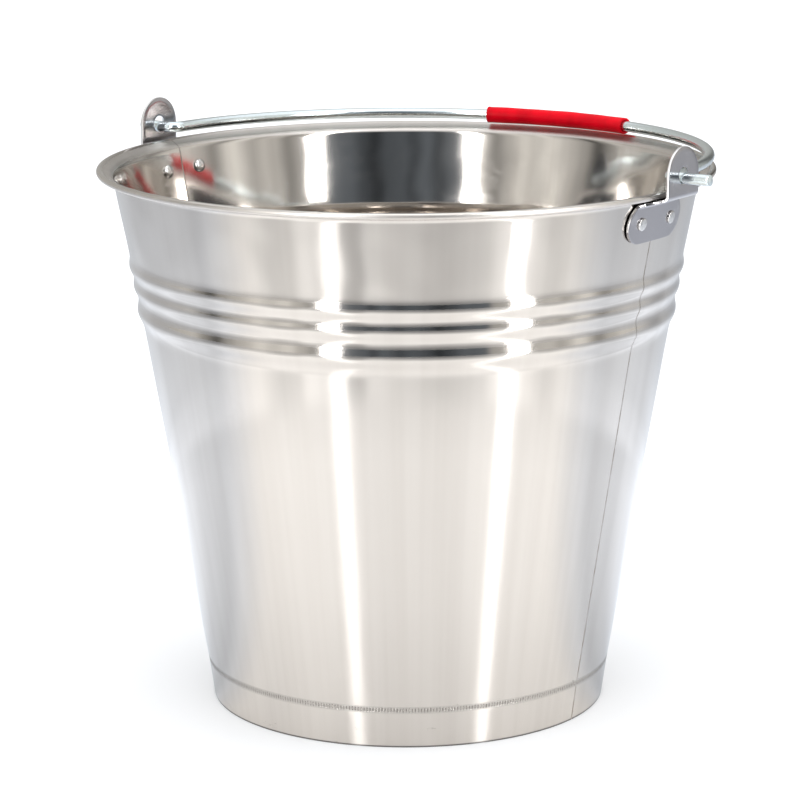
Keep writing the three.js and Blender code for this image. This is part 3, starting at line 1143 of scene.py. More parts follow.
@dataclass
class BodyPanels:
    """The two wall panels and the upright seams that join them."""

    shape: WallShape
    steps: int = 168
    seam_half_width: float = 0.5
    seam_crown: float = 0.05
    seam_sink: float = 0.02
    seam_gap: float = 0.04
    waves: tuple = (
        Wave(1.0, 3.0, 1.3, 19.0, 0.4),
        Wave(0.7, 7.0, 0.5, 27.0, 2.1),
        Wave(0.4, 13.0, 2.2, 14.0, 1.0),
    )
    waviness: float = 0.035
    top_wave: Wave = Wave(1.0, 17.0, 0.9, 7.0, 0.0)
    slanting: tuple = (0.6, 29.0, 9.0)
    top_waviness: float = 0.085

    def _waves(self, angle: np.ndarray, height: np.ndarray) -> np.ndarray:
        """Slight waves of thin sheet, shorter above the ribs, where one slants.

        The slanting wave is share * sin(turns * angle + height / length).

        Args:
            angle: Angle round the axis.
            height: Height of each point.

        Returns:
            How far each point moves outwards, fading to nothing at the foot, the rim and the seams.
        """
        broad = sum(wave.at(angle, height) for wave in self.waves)
        wall = np.clip((height - 26.0) / 30.0, 0.0, 1.0) * np.clip((252.0 - height) / 18.0, 0.0, 1.0)
        share, turns, length = self.slanting
        short = self.top_wave.at(angle, height) + share * np.sin(turns * angle + height / length)
        top = np.clip((height - 224.0) / 8.0, 0.0, 1.0) * np.clip((256.0 - height) / 8.0, 0.0, 1.0)
        return (self.waviness * broad * wall + self.top_waviness * short * top) * np.abs(np.sin(angle))

    def _panel(self, name: str, front: bool) -> bpy.types.Object:
        """One panel: the outline at each angle, cut parallel to the X axis beside the seams, ends closed.

        Args:
            name: The piece's name.
            front: True for the panel towards -Y.

        Returns:
            The new object.
        """
        outline = self.shape.outline()
        radius = outline[:, :1]
        height = np.broadcast_to(outline[:, 1:], (len(outline), self.steps + 1))
        edge = np.arcsin((self.seam_half_width - self.seam_gap) / radius)
        share = np.linspace(0.0, 1.0, self.steps + 1)
        angle = edge + share * (math.pi - 2.0 * edge)
        if front:
            angle = angle + math.pi
        moved = radius + self._waves(angle, height)
        points = np.stack([moved * np.cos(angle), moved * np.sin(angle), height], axis=-1)
        columns = self.steps + 1
        quads = grid_quads(len(outline), columns, wrap_rows=True)

        # the sheet's ends: outer point i is opposite inner point last - i
        half = len(outline) // 2
        outer = np.arange(half - 1)
        inner = len(outline) - 1 - outer
        first = np.stack([outer, outer + 1, inner - 1, inner], axis=1) * columns
        ends = np.concatenate([first, first[:, ::-1] + self.steps])
        return mesh_piece(name, points.reshape(-1, 3), np.concatenate([quads, ends]))

    def _seam(self, name: str, side: Side) -> bpy.types.Object:
        """Weld metal along the outline: the outline moved out by crown * (1 - y^2 / half width^2), across Y.

        Args:
            name: The piece's name.
            side: The side of the pail.

        Returns:
            The new object.
        """
        line = self.shape.centreline()
        across = np.linspace(-1.0, 1.0, 7)
        along = headings(line)
        out = np.stack([along[:, 1], -along[:, 0]], axis=1)
        crown = self.seam_crown * (1.0 - across**2) - self.seam_sink
        reach = self.shape.sheet / 2.0 + crown
        outer = line[:, None, :] + out[:, None, :] * reach[None, :, None]
        inner = line[:, None, :] - out[:, None, :] * reach[None, :, None]
        ring = np.concatenate([outer, inner[::-1]])
        y = np.broadcast_to(across * self.seam_half_width, ring.shape[:2])
        points = np.stack([ring[:, :, 0] * side.value, y, np.maximum(ring[:, :, 1], 0.0)], axis=-1)
        rows, columns = ring.shape[:2]
        quads = grid_quads(rows, columns, wrap_rows=True)
        low = np.arange(rows // 2 - 1)
        high = rows - 1 - low
        first = np.stack([low, low + 1, high - 1, high], axis=1) * columns
        ends = np.concatenate([first, first[:, ::-1] + columns - 1])
        return mesh_piece(name, points.reshape(-1, 3), np.concatenate([quads, ends]))

    def build(self, steel: bpy.types.Material, weld: bpy.types.Material) -> None:
        """Builds and dresses the panels and seams.

        Args:
            steel: The panels' finish.
            weld: The seams' finish.
        """
        for end, front in (("front", True), ("rear", False)):
            panel = self._panel(f"{end}_wall_sheet", front)
            settle(panel, Body.PAIL, Slot.POLISHED_STEEL, steel, [f"{end}_body_panel"])
        for side in Side:
            label = side.name.lower()
            seam = self._seam(f"{label}_seam_bead", side)
            settle(seam, Body.PAIL, Slot.SEAM_WELD, weld, [f"{label}_seam_weld"])


@dataclass
class WeldTrack:
    """The ticked track of the resistance weld that joins the wall to the pan's flange."""

    shape: WallShape
    ticks: int = 436
    points_per_tick: int = 6
    half_height: float = 1.85
    tick_half_height: float = 1.0
    depth: float = 0.24
    weakest: float = 0.65
    wander: float = 0.07
    proud: float = 0.012
    tuck: float = 0.03
    backing: float = 0.3
    rows: int = 11
    seed: int = 11

    def build(self, material: bpy.types.Material) -> None:
        """Builds the ring: the wall's radius less depth * dent.

        A dent is (0.5 + 0.5 cos)^1.5 round the ring times exp(-(h / tick half height)^4) up it. Each tick has its
        own strength and height.

        Args:
            material: The track's finish.
        """
        rng = np.random.default_rng(self.seed)
        columns = self.ticks * self.points_per_tick
        angle = np.arange(columns) * (FULL_TURN / columns)
        rise = np.linspace(-1.0, 1.0, self.rows)
        height = self.shape.track_height + rise * self.half_height
        tick = (np.arange(columns) + self.points_per_tick // 2) // self.points_per_tick % self.ticks
        strength = rng.uniform(self.weakest, 1.0, self.ticks)[tick]
        shift = rng.normal(0.0, self.wander, self.ticks)[tick]
        wave = (0.5 + 0.5 * np.cos(FULL_TURN * np.arange(columns) / self.points_per_tick)) ** 1.5
        from_track = (height[:, None] - self.shape.track_height - shift[None, :]) / self.tick_half_height
        dent = wave[None, :] * strength[None, :] * np.exp(-(from_track**4))
        tuck = self.tuck * np.abs(rise) ** 6
        outer = self.shape.radius(height)[:, None] + self.proud - tuck[:, None] - self.depth * dent
        inner = np.broadcast_to(self.shape.radius(height)[::-1, None] - self.backing, outer.shape)
        radius = np.concatenate([outer, inner])
        level = np.concatenate([height, height[::-1]])[:, None] * np.ones(columns)
        points = np.stack([radius * np.cos(angle), radius * np.sin(angle), level], axis=-1)
        quads = grid_quads(len(radius), columns, wrap_rows=True, wrap_columns=True)
        piece = mesh_piece("foot_weld_track", points.reshape(-1, 3), quads)
        shade = piece.data.attributes.new("dent", "FLOAT", "POINT")
        both = np.concatenate([dent, np.zeros_like(dent)])
        shade.data.foreach_set("value", both.ravel().astype(np.float32))
        settle(piece, Body.PAIL, Slot.SEAM_WELD, material)


@dataclass
class BasePan:
    """The pressed floor, with its flange turned down inside the wall."""

    shape: WallShape
    floor_height: float = 24.0
    corner: float = 4.0
    flange_end: float = 15.5
    clearance: float = 0.12
    floor_rings: int = 30
    segments: int = 180

    def build(self, material: bpy.types.Material) -> None:
        """Builds the pan: the floor's line, the corner's arc and the flange's line, turned round Z as sheet.

        Args:
            material: The pan's finish.
        """
        half = self.shape.sheet / 2.0
        floor = self.floor_height - half
        gap = self.shape.sheet + self.clearance + half
        corner = (float(self.shape.radius(np.array(floor))) - gap, floor)
        down = -math.pi / 2.0 - math.atan(self.shape.slope)
        bend = rounded_corner(corner, 0.0, down, self.corner, 14)
        track = self.shape.track_radius - gap - self.shape.groove_depth
        foot_slope = (self.shape.track_radius - self.shape.foot_radius) / self.shape.track_height
        end = (track - foot_slope * (self.shape.track_height - self.flange_end), self.flange_end)
        out = np.linspace(0.0, bend[0, 0] - 1.0, self.floor_rings)
        middle = np.stack([out, np.full_like(out, floor)], axis=1)
        line = np.concatenate([middle, bend, [(track, self.shape.track_height)], [end]])
        outline = ribbon(line, self.shape.sheet)
        outline[[0, -1], 0] = 0.0
        piece = turned("base_pan_pressing", outline, self.segments)
        settle(piece, Body.PAIL, Slot.PAN_STEEL, material, ["base_pan"])


# ---- Ears and rivets ----


@dataclass
class Ears:
    """The two stamped ears and their rivets."""

    shape: WallShape
    sizes: FrameSizes
    sheet: float = 1.2
    gap: float = 0.3
    plate_half_width: float = 9.5
    tab_half_width: float = 13.5
    tab_start: float = 262.3
    hole_radius: float = 4.1
    bend: float = 2.2
    neck_setback: float = 0.5
    overrun: float = 2.0
    fillet: float = 4.0
    plate_end_rise: float = math.radians(50.0)
    wrap: float = 0.72
    rivet_offset: float = 12.7
    shank_radius: float = 2.0
    outer_head: tuple = (3.1, 1.2)
    outer_edge: float = 0.25
    outer_round: float = 0.55
    outer_crown: float = 0.22
    inner_head: tuple = (3.4, 2.0)
    inner_edge: float = 0.35
    inner_face: float = -1.38
    chamfer: float = 0.16
    plate_height: float = field(init=False)
    hole_height: float = field(init=False)
    tab_radius: float = field(init=False)
    lean: float = field(init=False)

    def __post_init__(self) -> None:
        """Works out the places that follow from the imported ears."""
        self.plate_height = self.sizes.ear_foot + self.plate_half_width
        self.hole_height = self.sizes.ear_top - self.tab_half_width
        self.tab_radius = self.sizes.tab_face - self.sheet / 2.0
        self.lean = math.atan(self.shape.upper_slope)

    def _side_line(self) -> np.ndarray:
        """Middle of the ear's sheet from the side: plate, two bends and the flat tab.

        Returns:
            Rows of distance from the axis and height.
        """
        up = np.array([math.sin(self.lean), math.cos(self.lean)])
        out = np.array([math.cos(self.lean), -math.sin(self.lean)])
        wall = float(self.shape.radius(np.array(self.plate_height)))
        middle = np.array([wall, self.plate_height]) + out * (self.gap + self.sheet / 2.0)
        foot = middle - up * (self.plate_half_width + self.overrun)
        neck_start = middle + up * (self.plate_half_width - self.neck_setback)
        neck_end = np.array([self.tab_radius, self.tab_start])
        upright = math.pi / 2.0
        heading = math.atan2(neck_end[1] - neck_start[1], neck_end[0] - neck_start[0])
        lower = rounded_corner(neck_start, upright - self.lean, heading, self.bend, 9)
        upper = rounded_corner(neck_end, heading, upright, self.bend, 9)
        return np.concatenate([[foot], lower, upper, [[self.tab_radius, self.sizes.ear_top + self.overrun]]])

    def _wrap_depth(self, y: np.ndarray, height: np.ndarray) -> np.ndarray:
        """How far the plate bends in round the wall: wrap * y^2 / (2 * radius), less and less up to the tab.

        Args:
            y: Distance from the middle of the ear.
            height: Height of each point.

        Returns:
            The depth of each point.
        """
        plate_top = self.plate_height + self.plate_half_width
        share = np.clip((self.tab_start - height) / (self.tab_start - plate_top), 0.0, 1.0)
        radius = float(self.shape.radius(np.array(self.plate_height)))
        return self.wrap * share * y**2 / (2.0 * radius)

    def _half_width(self) -> np.ndarray:
        """Front outline: round plate end, short chamfer and the fillet up to the tab's upright edge.

        Returns:
            Rows of half width and height.
        """
        half_length = self.sizes.ear_half_length - self.plate_half_width
        quarter = math.pi / 2.0
        centre = (half_length, self.plate_height)
        plate_end = arc(centre, self.plate_half_width, -quarter, self.plate_end_rise, 26)
        top = self.plate_height + self.plate_half_width
        fillet_centre = (self.tab_half_width + self.fillet, top + self.fillet)
        round_in = arc(fillet_centre, self.fillet, 3.0 * quarter, 2.0 * quarter, 10)
        return np.concatenate([plate_end, round_in])

    def _ear(self, name: str, side: Side) -> bpy.types.Object:
        """One ear: rows across the bent plate and neck, then a flat tab of rays from its outline to its hole.

        Args:
            name: The piece's name.
            side: The side of the pail.

        Returns:
            The new object.
        """
        line = self._side_line()
        edge = self._half_width()
        flat_from = float(line[-2, 1])
        bends = line[(line[:, 1] > edge[0, 1] + 0.05) & (line[:, 1] < flat_from)][:, 1]
        levels = np.unique(np.round(np.concatenate([edge[:, 1], bends, [flat_from]]), 4))
        levels = levels[levels <= flat_from + 1e-6]
        widths = np.interp(levels, edge[:, 1], edge[:, 0])
        across = np.linspace(-1.0, 1.0, 25)
        y = widths[:, None] * across
        x = np.interp(levels, line[:, 1], line[:, 0])[:, None] - self._wrap_depth(y, levels[:, None])
        z = levels[:, None] * np.ones(len(across))
        plate = np.stack([x, y, z], axis=-1).reshape(-1, 3)
        plate_quads = grid_quads(len(levels), len(across))

        # the tab's outline, anticlockwise from the left end of the plate's last row
        half = self.tab_half_width
        rise = np.linspace(flat_from, self.hole_height, 6)[1:-1]
        right = np.stack([np.full(len(rise), half), rise], axis=1)
        top = arc((0.0, self.hole_height), half, 0.0, math.pi, 41)
        left = np.stack([np.full(len(rise), -half), rise[::-1]], axis=1)
        bottom = np.stack([y[-1], z[-1]], axis=1)
        bottom[[0, -1], 0] = (-half, half)
        border = np.concatenate([bottom, right, top, left])
        ray = border - np.array([0.0, self.hole_height])
        hole = ray / np.linalg.norm(ray, axis=1, keepdims=True) * self.hole_radius
        share = np.array([0.0, 0.3, 0.6, 0.85, 1.0])[:, None, None]
        rings = ray * (1.0 - share) + hole * share + np.array([0.0, self.hole_height])
        tab_x = np.full(rings.shape[:2], self.tab_radius)
        tab = np.stack([tab_x, rings[:, :, 0], rings[:, :, 1]], axis=-1).reshape(-1, 3)
        tab_quads = grid_quads(len(share), len(border), wrap_columns=True)

        points = np.concatenate([plate, tab])
        quads = np.concatenate([plate_quads[:, ::-1], tab_quads[:, ::-1] + len(plate)])
        if side is Side.LEFT:
            points = points * np.array([-1.0, -1.0, 1.0])
        piece = mesh_piece(name, points, quads, closed=False, weld=True)
        make_sheet(piece, self.sheet, self.chamfer)
        self._mark_edges(piece)
        return piece

    @staticmethod
    def _mark_edges(piece: bpy.types.Object) -> None:
        """Sets the mesh's own sheared attribute to 1 on cut faces, which look along the sheet, not along X.

        Args:
            piece: The ear.
        """
        normals = np.empty(len(piece.data.polygons) * 3, dtype=np.float32)
        piece.data.polygons.foreach_get("normal", normals)
        cut = np.abs(normals.reshape(-1, 3)[:, 0]) < SHEARED_LIMIT
        mark = piece.data.attributes.new("sheared", "FLOAT", "FACE")
        mark.data.foreach_set("value", cut.astype(np.float32))

    def _rivet_outline(self) -> np.ndarray:
        """Half section of a rivet: inner dome, shank and low outer head.

        Returns:
            Rows of radius and place on the rivet's axis.
        """
        depth = self._wrap_depth(np.array(self.rivet_offset), np.array(self.plate_height))
        face = self.gap + self.sheet - float(depth)
        inner_radius, inner_height = self.inner_head
        outer_radius, outer_height = self.outer_head
        turn = np.linspace(0.0, math.pi / 2.0, 14)
        dome_rise = self.inner_edge + (inner_height - self.inner_edge) * np.cos(turn)
        dome = np.stack([inner_radius * np.sin(turn), self.inner_face - dome_rise], axis=1)
        low_centre = (outer_radius - self.outer_edge, face + self.outer_edge)
        low_edge = arc(low_centre, self.outer_edge, -math.pi / 2.0, 0.0, 5)
        shoulder_height = face + outer_height - self.outer_crown - self.outer_round
        shoulder = arc((outer_radius - self.outer_round, shoulder_height), self.outer_round, 0.0, 1.25, 8)
        cap_radius = np.linspace(shoulder[-1, 0], 0.0, 7)[1:]
        rise = face + outer_height - shoulder[-1, 1]
        cap = shoulder[-1, 1] + rise * (1.0 - (cap_radius / shoulder[-1, 0]) ** 2)
        shank = [(self.shank_radius, self.inner_face), (self.shank_radius, face)]
        top = np.stack([cap_radius, cap], axis=1)
        return np.concatenate([dome, [(inner_radius, self.inner_face)], shank, low_edge, shoulder, top])

    def _rivet(self, name: str, side: Side, offset: float) -> bpy.types.Object:
        """One rivet, turned about its own axis and set through the leaning plate.

        Args:
            name: The piece's name.
            side: The side of the pail.
            offset: Distance along Y from the middle of the plate.

        Returns:
            The new object.
        """
        piece = turned(name, self._rivet_outline(), 40)
        wall = float(self.shape.radius(np.array(self.plate_height)))
        to_axis = Matrix.Rotation(math.pi / 2.0 + self.lean, 4, "Y")
        turn = Matrix.Rotation(self.wrap * offset * side.value / wall, 4, "Z")
        place = Matrix.Translation(Vector((wall, offset * side.value, self.plate_height)) * MM) @ turn
        half_turn = Matrix.Rotation(0.0 if side is Side.RIGHT else math.pi, 4, "Z")
        transform_piece(piece, half_turn @ place @ to_axis)
        return piece

    def build(self, steel: bpy.types.Material, rivet_steel: bpy.types.Material) -> None:
        """Builds and dresses the ears and rivets.

        Args:
            steel: The ears' finish.
            rivet_steel: The rivets' finish.
        """
        for side in Side:
            label = side.name.lower()
            ear = self._ear(f"{label}_ear_stamping", side)
            settle(ear, Body.PAIL, Slot.EAR_STEEL, steel, [f"{label}_ear"])
            for end, sign in (("front", -1.0), ("rear", 1.0)):
                rivet = self._rivet(f"{label}_{end}_rivet_set", side, sign * self.rivet_offset)
                settle(rivet, Body.PAIL, Slot.RIVET_STEEL, rivet_steel, [f"{label}_{end}_rivet"])


# ---- Bail ----


@dataclass
class Bail:
    """The wire bail and the sleeve on its middle, drawn in the bow's own plane with the hinge axis as X."""

    sizes: FrameSizes
    wire_radius: float = 2.7
    bow_radius: float = 145.2
    shift: float = 1.3
    bend: float = 5.0
    grip_radius: float = 4.2
    grip_bore: float = 2.95
    grip_length: float = 84.0
    grip_shift: float = -4.5
    grip_lip: float = 0.55
    grip_mouth: float = 0.3
    clearance: float = 0.3
    cut_edge: float = 0.35
    cut_rounds: tuple = (0.45, 0.12)
    cut_slants: tuple = (0.28, 0.24, 0.1)

    def _tilt(self) -> float:
        """The bow's slope at rest: down from the hinge until the sleeve lies on the rim."""
        drop = self.sizes.hinge_height - (self.sizes.rim_height + self.clearance + self.grip_radius)
        return -math.asin(drop / self.bow_radius)

    def _onto_hinge(self, flat: np.ndarray) -> np.ndarray:
        """Turns points of the bow's plane about the hinge axis by the tilt, and moves them to the hinge."""
        tilt = self._tilt()
        return np.stack(
            [
                flat[..., 0] + self.shift,
                flat[..., 1] * math.cos(tilt) - flat[..., 2] * math.sin(tilt),
                flat[..., 1] * math.sin(tilt) + flat[..., 2] * math.cos(tilt) + self.sizes.hinge_height,
            ],
            axis=-1,
        )

    def _wire_line(self) -> np.ndarray:
        """The wire's middle: right tail, bend, bow, bend and left tail.

        Returns:
            Rows of x and y in the bow's plane.
        """
        centre = (self.bow_radius + self.bend, self.bend)
        bend = arc(centre, self.bend, -math.pi / 2.0, -math.pi, 16)
        clear = math.asin(2.0 * self.bend / self.bow_radius)
        bow = arc((0.0, 0.0), self.bow_radius, clear, math.pi - clear, 200)
        right_end = self.sizes.right_tail_end - self.shift
        left_end = -self.sizes.left_tail_end - self.shift
        right = np.stack([np.linspace(right_end, centre[0] + 0.5, 12), np.zeros(12)], axis=1)
        left = np.stack([np.linspace(-centre[0] - 0.5, left_end, 12), np.zeros(12)], axis=1)
        mirrored = bend[::-1] * np.array([-1.0, 1.0])
        return np.concatenate([right, bend, bow, mirrored, left])

    def _wire(self) -> bpy.types.Object:
        """The wire, with sheared ends that close to a point on the cut.

        Returns:
            The new object.
        """
        line = self._wire_line()
        out = np.array([1.0, 0.0])
        step = out * self.cut_edge
        ends_right = [line[0], line[0], line[0] - step * 0.3, line[0] - step]
        ends_left = [line[-1] + step, line[-1] + step * 0.3, line[-1], line[-1]]
        flat = np.concatenate([ends_right, line[1:-1], ends_left])
        # the rims of the cuts lie just inside their middles
        flat[1] -= out * 0.02
        flat[-2] += out * 0.02
        rims = self.wire_radius - np.array(self.cut_rounds)
        radii = np.full(len(flat), self.wire_radius)
        radii[:3] = (0.0, *rims)
        radii[-3:] = (*rims[::-1], 0.0)
        slant = np.zeros(len(flat))
        slant[1:4] = self.cut_slants
        slant[-4:-1] = self.cut_slants[::-1]
        path = self._onto_hinge(np.concatenate([flat, np.zeros((len(flat), 1))], axis=1))
        tilt = self._tilt()
        upright = np.array([0.0, -math.sin(tilt), math.cos(tilt)])
        return swept_round("bail_wire", path, upright, radii, 28, slant)

    def _grip(self) -> bpy.types.Object:
        """The sleeve: a closed loop of (length along the bow, radius) carried round the bow's line.

        Returns:
            The new object.
        """
        half = self.grip_length / 2.0
        outer = self.grip_radius
        bore = self.grip_bore
        lip = self.grip_lip
        # the body swells and sinks slightly along its length
        body = np.linspace(-half + 2.4, half - 2.4, 60)
        swell = outer - 0.12 + 0.05 * np.sin(body / 6.3 + 0.7) + 0.04 * np.sin(body / 2.9)
        right_lip = arc((half - lip, outer - lip), lip, math.pi * 0.55, 0.0, 8)
        left_lip = right_lip[::-1] * np.array([-1.0, 1.0])
        inside = np.stack([np.linspace(half - 0.25, -half + 0.25, 24), np.full(24, bore)], axis=1)
        right_in = [(half, bore + self.grip_mouth)]
        left_in = [(-half, bore + self.grip_mouth)]
        outside = np.stack([body, swell], axis=1)
        loop = np.concatenate([outside, right_lip, right_in, inside, left_in, left_lip])
        sides = 44
        turn = math.pi / 2.0 - (self.grip_shift + loop[:, 0]) / self.bow_radius
        around = np.arange(sides) * (FULL_TURN / sides)
        reach = loop[:, 1:]
        radial = self.bow_radius + reach * np.cos(around)
        flat = np.stack(
            [
                radial * np.cos(turn)[:, None],
                radial * np.sin(turn)[:, None],
                reach * np.sin(around),
            ],
            axis=-1,
        )
        points = self._onto_hinge(flat).reshape(-1, 3)
        quads = grid_quads(len(loop), sides, wrap_rows=True, wrap_columns=True)
        return mesh_piece("grip_sleeve", points, quads, sharp_angle=50.0)

    def build(self, zinc: bpy.types.Material, plastic: bpy.types.Material) -> None:
        """Builds and dresses the wire and the sleeve.

        Args:
            zinc: The wire's finish.
            plastic: The sleeve's finish.
        """
        settle(self._wire(), Body.BAIL, Slot.ZINC_WIRE, zinc, ["bail"])
        settle(self._grip(), Body.BAIL, Slot.GRIP_PLASTIC, plastic, ["grip"])


# ---- Studio ----


@dataclass
class Studio:
    """Camera, pale floor, surround and lights. Bearings run from the camera's side, + to its right.

    The floor and the surround are plain to the eye. What steel mirrors of them has pale and dim stretches, given
    as rows of place and brightness: distances from the pail in metres, and bearings in degrees. On the floor
    these stretches are painted light and shade that only mirrored rays see: a pool of light near the pail that
    falls off with distance, and dimmer, cooler painted shade by bearing.
    """

    camera_azimuth: float = 35.2
    camera_distance: float = 1573.7
    camera_height: float = 503.4
    camera_pitch: float = 12.761
    camera_roll: float = -0.22
    lens: float = 147.19
    sideways_shift: float = -0.0089
    floor_radius: float = 6000.0
    floor_plain: tuple = (0.85, 0.865, 0.885, 1.0)
    floor_gloss: float = 0.5
    floor_roughness: float = 0.18
    # painted light on the floor by distance from the pail: a pool of light that falls off further out
    floor_light_by_distance: tuple = (
        (0.0, 0.80),
        (0.14, 0.83),
        (0.24, 0.87),
        (0.345, 0.88),
        (0.38, 0.84),
        (0.41, 0.79),
        (0.45, 0.72),
        (0.50, 0.62),
        (0.70, 0.50),
        (1.0, 0.40),
    )
    # painted light and shade on the floor, by bearing
    floor_by_bearing: tuple = (
        (0.0, 0.67),
        (14.0, 0.67),
        (32.0, 0.72),
        (60.0, 0.73),
        (76.0, 0.63),
        (88.0, 0.52),
        (102.0, 0.58),
        (124.0, 0.72),
        (145.0, 0.88),
        (180.0, 0.88),
    )
    # painted light and shade on the far floor, by bearing
    far_by_bearing: tuple = (
        (-180.0, 0.66),
        (-124.0, 0.70),
        (-102.0, 0.84),
        (-62.0, 0.84),
        (-50.0, 0.60),
        (-44.0, 0.63),
        (-38.0, 0.84),
        (-28.0, 0.74),
        (-22.0, 0.50),
        (-18.0, 0.50),
        (-13.0, 0.73),
        (0.0, 0.64),
        (13.0, 0.57),
        (27.0, 0.63),
        (37.0, 0.86),
        (46.0, 0.84),
        (56.0, 0.64),
        (67.0, 0.78),
        (104.0, 0.90),
        (130.0, 0.70),
        (180.0, 0.66),
    )
    painted_light_level: float = 1.5
    cool_from: float = 60.0
    cool_to: float = 86.0
    far_from: float = 0.392
    far_to: float = 0.425
    strips: tuple = ((-535.0, -940.0, 125.0), (446.0, -485.0, 82.0))
    strip_height: float = 1300.0
    strip_radiance: float = 14.0
    ambient: tuple = (1.5, 1.5, 1.5, 1.0)
    surround_white: tuple = (1.06, 1.065, 1.08, 1.0)
    surround: tuple = (
        (-180.0, 0.45),
        (-125.0, 0.55),
        (-100.0, 0.72),
        (-93.0, 0.36),
        (-86.0, 0.12),
        (-80.0, 0.45),
        (-72.0, 0.68),
        (-63.0, 1.0),
        (-57.0, 0.78),
        (-50.0, 0.95),
        (-44.0, 0.62),
        (-38.0, 0.30),
        (-33.0, 0.70),
        (34.0, 0.45),
        (45.0, 0.45),
        (51.0, 0.33),
        (56.0, 0.62),
        (62.0, 0.72),
        (67.0, 0.56),
        (77.0, 1.0),
        (87.0, 0.38),
        (95.0, 0.64),
        (102.0, 0.84),
        (113.0, 0.76),
        (129.0, 0.30),
        (136.0, 0.44),
        (158.0, 0.12),
        (175.0, 0.40),
    )
    room: tuple = (
        (-30.0, 0.15),
        (-18.0, 0.15),
        (-14.0, 0.088),
        (-9.0, 0.165),
        (-3.0, 0.088),
        (2.0, 0.13),
        (7.0, 0.115),
        (13.0, 0.044),
        (18.0, 0.085),
        (24.0, 0.15),
        (44.0, 0.17),
    )
    neutral: tuple = (1.0, 1.0, 1.0)
    shade_tint: tuple = (0.93, 0.985, 1.075)
    warm: tuple = (1.02, 1.0, 0.95)
    cool: tuple = (0.88, 1.0, 1.14)
    dark_left: float = -30.0
    dark_right: float = 34.0
    dark_edge: float = 1.5
    ceiling_from: float = 0.55
    ceiling_to: float = 0.80
    overhead_height: float = 1400.0
    overhead_size: float = 800.0
    overhead_radiance: float = 0.8

    def _turned(self, right: float, away: float) -> Vector:
        """A floor point given to the camera's right and away from it, in metres in the row frame."""
        turn = math.radians(self.camera_azimuth)
        return Vector(
            (
                (right * math.cos(turn) - away * math.sin(turn)) * MM,
                (right * math.sin(turn) + away * math.cos(turn)) * MM,
                0.0,
            )
        )

    def _camera(self) -> None:
        """Makes the camera."""
        data = bpy.data.cameras.new("camera")
        data.lens = self.lens
        data.sensor_width = 36.0
        data.shift_x = self.sideways_shift
        data.clip_end = 50.0
        camera = bpy.data.objects.new("camera", data)
        bpy.context.scene.collection.objects.link(camera)
        place = self._turned(0.0, -self.camera_distance)
        place.z = self.camera_height * MM
        turn = Matrix.Rotation(math.radians(self.camera_azimuth), 4, "Z")
        pitch = Matrix.Rotation(math.radians(90.0 - self.camera_pitch), 4, "X")
        roll = Matrix.Rotation(math.radians(self.camera_roll), 4, "Z")
        camera.matrix_world = Matrix.Translation(place) @ turn @ pitch @ roll
        bpy.context.scene.camera = camera

    def _floor(self) -> None:
        """Makes the pale floor, with the slight gloss of a coated board, and painted light and shade that only
        mirrored rays see.
        """
        corners = self.floor_radius * np.array([(-1, -1, 0), (1, -1, 0), (1, 1, 0), (-1, 1, 0)])
        floor = mesh_piece("studio_floor", corners, np.array([[0, 1, 2, 3]]), closed=False)
        material, kit, shader = new_material("pale_floor")
        position = kit.add("ShaderNodeTexCoord").outputs["Object"]
        distance = kit.add("ShaderNodeVectorMath", {"operation": "LENGTH"}, in0=position).outputs["Value"]
        bearing = self._bearing(kit, position)
        around = kit.math("ABSOLUTE", bearing)
        # painted light and shade for mirrored rays: a pool of light near the pail that falls off with distance,
        # dimmer stretches by bearing, and a cool painted shade to the sides
        by_distance = kit.profile(distance, 0.0, 1.0, self._tinted(self.floor_light_by_distance, self.neutral))
        by_bearing = kit.profile(around, 0.0, 180.0, self._tinted(self.floor_by_bearing, self.neutral))
        far_off = kit.profile(bearing, -180.0, 180.0, self._tinted(self.far_by_bearing, self.neutral))
        white = (1.0, 1.0, 1.0, 1.0)
        full = (self.painted_light_level,) * 3 + (1.0,)
        far_off = kit.mix(1.0, far_off, full, "MULTIPLY")
        far_off = kit.mix(kit.ramp(distance, self.far_from, self.far_to), white, far_off)
        cool = kit.mix(kit.ramp(around, self.cool_from, self.cool_to), white, (*self.shade_tint, 1.0))
        painted_floor_light = full
        for layer in (by_distance, by_bearing, far_off, cool):
            painted_floor_light = kit.mix(1.0, painted_floor_light, layer, "MULTIPLY")
        mirrored = kit.add("ShaderNodeLightPath").outputs["Is Glossy Ray"]
        gloss = kit.math("MULTIPLY", mirrored, self.floor_gloss)
        colour = kit.mix(mirrored, self.floor_plain, painted_floor_light)
        tie(kit, shader, {"Base Color": colour, "Specular IOR Level": gloss})
        shader.inputs["Roughness"].default_value = self.floor_roughness
        floor.data.materials.append(material)

    def _bearing(self, kit: Nodes, vector: bpy.types.NodeSocket) -> bpy.types.NodeSocket:
        """Bearing of a point or direction in degrees: 0 towards the camera, + to the camera's right.

        Args:
            kit: The node tree's helper.
            vector: The point or direction.

        Returns:
            The bearing.
        """
        turn = math.radians(self.camera_azimuth)
        right = kit.dot(vector, (math.cos(turn), math.sin(turn), 0.0))
        near = kit.dot(vector, (math.sin(turn), -math.cos(turn), 0.0))
        return kit.math("DEGREES", kit.math("ARCTAN2", right, near))

